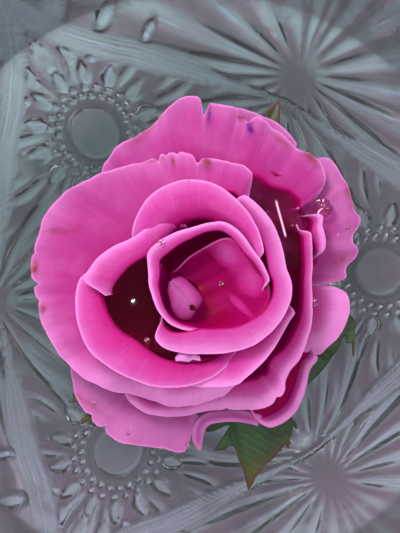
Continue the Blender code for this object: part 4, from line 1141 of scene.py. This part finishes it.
def makeSepals(material):
    v = sepalValues
    for name, outline in sepals.items():
        mesh = cutSheet(name, outline, v["cell"])
        flat = placesOf(mesh)[:, :2]
        reach = np.hypot(*flat.T)
        root, tip = np.array(outline[:2]).mean(axis=0), max(outline, key=lambda point: math.hypot(*point))
        run = np.array(tip) - root
        run /= np.linalg.norm(run)
        away = flat - root
        side, forward = away[:, 0] * run[1] - away[:, 1] * run[0], away @ run
        _, fromEdge = nearestOnOutline(flat, np.array(outline, float))
        rise = np.minimum(v["root"][1] + v["slope"] * (reach - v["root"][0]), v["rise"])
        rise -= v["midrib"] * np.exp(-(side / 1.1) ** 2) * smoothStep(reach, 30, 44)
        rise += v["ripple"] * np.sin(forward / 2.7 + np.abs(side) / 3) * smoothStep(np.abs(side), 1, 4)
        setOnBloom(mesh, flat, rise)
        setAttributes(mesh, side=side, forward=forward, fromEdge=fromEdge)
        piece = finishedPiece("sepal" + name.capitalize(), mesh, material, "sepal", "calyx")
        thickened(piece, v["thickness"])
    profile = [(reach, waterLevel + rise) for reach, rise in smoothLine(v["hip"][1:-1], 40)[::-1]]
    mesh = meshOf("hip", spun(profile, roundSteps, bloomAxis))
    setAttributes(mesh, side=5, forward=10, fromEdge=5)
    finishedPiece("hip", mesh, material, "sepal", "calyx")


sepalLook = {
    "green": linear(30, 50, 18),
    "fresh": linear(36, 76, 24),
    "olive": linear(74, 66, 26),
    "brown": linear(84, 34, 26),
    "blotch": (110.0, 4.0, 0.6),
    "bump": (0.35, 0.0006),
}


def sepalMaterial():
    look = sepalLook
    material, wire, shader, place = newMaterial("sepalSkin", Roughness=0.42, IOR=1.42, Subsurface_Weight=0.08,
                                                Subsurface_Radius=(0.4, 1.0, 0.2), Subsurface_Scale=0.0006)
    side, forward, fromEdge = attributes(wire, "side", "forward", "fromEdge")
    blotch = noise(wire, place, *look["blotch"])
    slant = forward * 0.9 - side.maths("ABSOLUTE", side) * 0.9
    ribs = side.maths("SINE", slant * 2.4 + blotch * 3.0)
    body = mixed(wire, blotch.between(0.35, 0.65), look["green"], look["fresh"])
    body = mixed(wire, forward.between(46, 60) * 0.9, body, look["olive"])
    body = mixed(wire, fromEdge.between(1.5, 0.0) * forward.between(40, 54) * 0.8, body, look["brown"])
    body = mixed(wire, ribs.between(0.4, 1.0) * 0.05, body, look["olive"])
    feed(wire, shader, "Base Color", body)
    bumped(wire, shader, ribs * 0.06 + blotch, *look["bump"])
    return material


# Water among the petals

# Outlines from above in millimetres from the bloom's axis, rise above the bowl's water, how far each skin
# is hollowed, and its lowest place
# sheen: 1 for the pool that carries the painted reflection and the painted long highlight
pools = {
    "poolLeft": dict(
        outline=((-26.1, 5.9), (-22.3, 8.9), (-14.9, 11), (-11, 5.9), (-11, -0.9), (-9.5, -8.3),
                 (-6.9, -14.8), (-10.4, -16.5), (-13.4, -18.6), (-16.3, -22.5), (-24.6, -16.5),
                 (-29.4, -8.9), (-29.4, -0.9)), rise=23, hollow=2.2, deep=7, sheen=0, lowest=(-14.6, -3.6)),
    "poolLow": dict(
        outline=((-14, -17), (-9.4, -15.6), (-6.5, -16.6), (-3.6, -20), (-5, -24), (-9.5, -23),
                 (-14, -20.5)), rise=23.6, hollow=0.7, deep=5, sheen=0, lowest=(-9, -19.5)),
    "poolRight": dict(
        outline=((11.1, 27.7), (13.5, 29.8), (17.1, 32.5), (20.1, 34), (24.4, 32.8), (28.4, 30.3),
                 (29.4, 25.2), (30.6, 21.8), (32, 18.4), (33.2, 13.6), (33.4, 7.8), (30.7, 4.8),
                 (27.7, 4.8), (25.9, 9), (24.4, 13.2), (22.6, 17.4), (20.1, 21.4), (17.2, 24.3),
                 (14.2, 26.2)), rise=13.2, hollow=1.3, deep=4, sheen=1, lowest=(29, 17)),
}
poolSteps = 96


def makePools(material):
    # a turned lens, its circle then drawn out to the pool's outline
    made = []
    steps = poolSteps
    for name, pool in pools.items():
        outline = smoothLine([*pool["outline"], pool["outline"][0]], steps + 1)[:-1]
        middle = np.array(pool["lowest"])
        skin = [(share, pool["rise"] + pool["hollow"] * (share**2 - 1)) for share in np.linspace(0, 1, 13)]
        bed = pool["rise"] - pool["deep"]
        under = [(0.98, bed + pool["deep"] * 0.4), (0.7, bed), (0, bed - 0.5)]
        mesh = meshOf(name, spun(skin + under, steps))
        co = placesOf(mesh)
        share = np.hypot(co[:, 0], co[:, 1])
        bearing = np.degrees(np.arctan2(*(outline - middle).T[::-1])) % 360
        order = np.argsort(bearing)
        wanted = np.degrees(np.arctan2(co[:, 1], co[:, 0])) % 360
        turn = order[np.searchsorted(bearing[order], wanted) % steps]
        setOnBloom(mesh, middle + (outline[turn] - middle) * share[:, None], co[:, 2])
        setAttributes(mesh, sheen=pool["sheen"])
        made.append(finishedPiece(name, mesh, material, "water"))
        mesh.set_sharp_from_angle(angle=crease)
    return made


# Drops: azimuth, reach, width in millimetres
drops = ((30, 44.8, 6), (130, 15, 2.1), (19, 49.5, 1.5), (230, 49, 1.4), (246, 51, 1.5), (351, 37, 1.3),
         (349, 37.6, 1.2), (157, 13.6, 0.8), (102, 51, 0.9), (94, 29.4, 0.8), (267, 50.5, 1.3),
         (40, 50, 0.8), (356.4, 7.8, 1.5), (231, 22.3, 1.7), (171, 28, 0.8), (18, 46, 0.9))
# painted light: the glints and the ring on the rim side are painted highlights, and the ring on the shade
# side is painted shade
dropValues = {
    "largeFrom": 3.0,
    "tall": 0.95,
    "flat": 0.62,
    "smallGlints": 2.2,
    "segments": (48, 32),
    "ring": 0.9,                # where the marks along the edge run, as a share of the radius
    "sunk": 0.7,
    "glints": ((0.25, 0.15, 0.11), (0.42, -0.12, 0.08), (-0.1, -0.45, 0.06)),    # towards +X, +Y, how wide
    "rimSide": (-0.8, 0.6),
    "shadeSide": (0.75, -0.66),
}


def landing(trees, azimuth, reach):
    # where a plumb line over this place first meets a piece, and how that piece slopes there
    x, y = (np.array(bloomAxis) + heading(azimuth) * reach) * mm
    hits = [tree.ray_cast(Vector((x, y, 0.2)), Vector((0, 0, -1)))[:2] for tree in trees]
    return max((hit for hit in hits if hit[0]), key=lambda hit: hit[0].z, default=None)


def makeDrops(material, onto):
    v = dropValues
    graph = bpy.context.evaluated_depsgraph_get()
    trees = [BVHTree.FromObject(piece, graph) for piece in onto]
    bm = bmesh.new()
    glint, shade = [], []
    for azimuth, reach, width in drops:
        found = landing(trees, azimuth, reach)
        if not found:
            continue
        place, normal = found
        around, upward = v["segments"]
        made = bmesh.ops.create_uvsphere(bm, u_segments=around, v_segments=upward, radius=width / 2)["verts"]
        large = width > v["largeFrom"]
        tall, wider = (v["tall"], 1) if large else (v["flat"], v["smallGlints"])
        for vert in made:
            way = np.array(vert.co) / (width / 2)
            out = math.hypot(way[0], way[1])
            # painted highlights and painted shade on each drop
            marks = [math.exp(-((way[0] - x) ** 2 + (way[1] - y) ** 2) / (size * wider) ** 2)
                     for x, y, size in v["glints"]]
            lit = smoothStep(way[:2] @ v["rimSide"], -0.2, 0.7)
            marks.append(math.exp(-((out - v["ring"]) / 0.1) ** 2) * lit)
            glint.append(max(marks) if way[2] > 0 else 0)
            shaded = smoothStep(way[:2] @ v["shadeSide"], 0.1, 0.8)
            shade.append(math.exp(-((out - v["ring"]) / 0.12) ** 2) * shaded)
            vert.co.z = vert.co.z * tall + width / 2 * tall * v["sunk"]
        if large:
            normal = Vector((normal.x * 0.3, normal.y * 0.3, 1)).normalized()
        bmesh.ops.rotate(bm, verts=made, matrix=Vector((0, 0, 1)).rotation_difference(normal).to_matrix())
        bmesh.ops.translate(bm, verts=made, vec=place / mm)
    mesh = meshOf("drops", bm)
    setAttributes(mesh, glint=glint, shade=shade)
    finishedPiece("drops", mesh, material, "water")


dropLook = {
    # painted light: the glint glows as painted highlights; light is the drop's pink tint and shade the
    # painted shade on its far side
    "glint": (1.0, 0.85, 0.95),
    "light": (0.8, 0.42, 0.62),
    "shade": (0.2, 0.01, 0.05),
}


def dropMaterial():
    # painted highlights: the marks of the lights on each drop are part of its colour and glow, and painted
    # shade darkens its far side
    look = dropLook
    material, wire, shader, _ = newMaterial("dropWater", Roughness=0.02, IOR=1.33,
                                            Transmission_Weight=1.0, Emission_Strength=1.0)
    glint, shade = attributes(wire, "glint", "shade")
    feed(wire, shader, "Emission Color", mixed(wire, glint.between(0.3, 0.7), (0, 0, 0), look["glint"]))
    body = mixed(wire, shade.between(0.2, 0.8) * 0.85, look["light"], look["shade"])
    feed(wire, shader, "Base Color", body)
    return material


# Floor, light and camera

stageValues = {
    "floorReach": 2.5,
    "floorColour": linear(226, 226, 224),
    "floorMottle": linear(214, 214, 214),
    "worldColour": (0.9, 0.93, 1.0),
    "worldStrength": 0.66,
    "keyPower": 9.2,
    "keySize": 0.4,
    "keyPlace": (-0.36, 0.62, 0.88),
    "lowPower": 1.0,
    "lowSize": 0.2,
    "lowReach": 0.45,
    "lowHeight": 0.12,
    "lowAzimuths": (40, 130, 220, 310),
    "flashPower": 0.3,
    "flashSize": 0.01,
    "flashPlace": (0.018, 0.012, 0.49),
    "cameraPlace": (0.0009, 0.00575, 0.482),
    "focalPixels": 1400.0,
    "photoHeight": 533,
    "sensor": 36,
}


def makeStage():
    s = stageValues
    bm = bmesh.new()
    bmesh.ops.create_grid(bm, x_segments=2, y_segments=2, size=s["floorReach"])
    floor = bpy.data.objects.new("floor", meshOf("floor", bm))
    bpy.context.scene.collection.objects.link(floor)
    material, wire, shader, place = newMaterial("paleFloor", Roughness=0.6)
    mottle = noise(wire, place, 3.0, 3.0)
    feed(wire, shader, "Base Color", mixed(wire, mottle * 0.1, s["floorColour"], s["floorMottle"]))
    floor.data.materials.append(material)
    bpy.context.scene.view_settings.view_transform = "Standard"
    world = bpy.data.worlds.new("studio")
    bpy.context.scene.world = world
    world.use_nodes = True
    background = world.node_tree.nodes["Background"]
    background.inputs["Color"].default_value = (*s["worldColour"], 1)
    background.inputs["Strength"].default_value = s["worldStrength"]


def addLight(name, place, size, power, aim=(0, 0, 0.05)):
    lamp = bpy.data.lights.new(name, "AREA")
    lamp.shape = "DISK"
    lamp.size = size
    lamp.energy = power
    light = bpy.data.objects.new(name, lamp)
    bpy.context.scene.collection.objects.link(light)
    light.location = place
    light.rotation_euler = (Vector(aim) - Vector(place)).to_track_quat("-Z", "Y").to_euler()
    return light


def addCamera():
    s = stageValues
    camera = bpy.data.objects.new("camera", bpy.data.cameras.new("camera"))
    bpy.context.scene.collection.objects.link(camera)
    camera.location = s["cameraPlace"]
    camera.data.sensor_width = s["sensor"]
    camera.data.lens = s["sensor"] * s["focalPixels"] / s["photoHeight"]
    camera.data.clip_start = 0.01
    bpy.context.scene.camera = camera


def main():
    makeBowl(glassMaterial())
    print("bowl done")
    makeWater(waterMaterial())
    print("water done")
    bloom = makeBloom(petalMaterial())
    print("bloom done")
    makeSepals(sepalMaterial())
    print("sepals done")
    pooled = makePools(poolMaterial())
    makeDrops(dropMaterial(), bloom + pooled)
    print("pools and drops done")
    makeStage()
    addLight("key", stageValues["keyPlace"], stageValues["keySize"], stageValues["keyPower"])
    for azimuth in stageValues["lowAzimuths"]:
        place = (*(heading(azimuth) * stageValues["lowReach"]), stageValues["lowHeight"])
        addLight(f"low{azimuth}", place, stageValues["lowSize"], stageValues["lowPower"], aim=(0, 0, 0))
    addLight("flash", stageValues["flashPlace"], stageValues["flashSize"], stageValues["flashPower"])
    addCamera()


main()
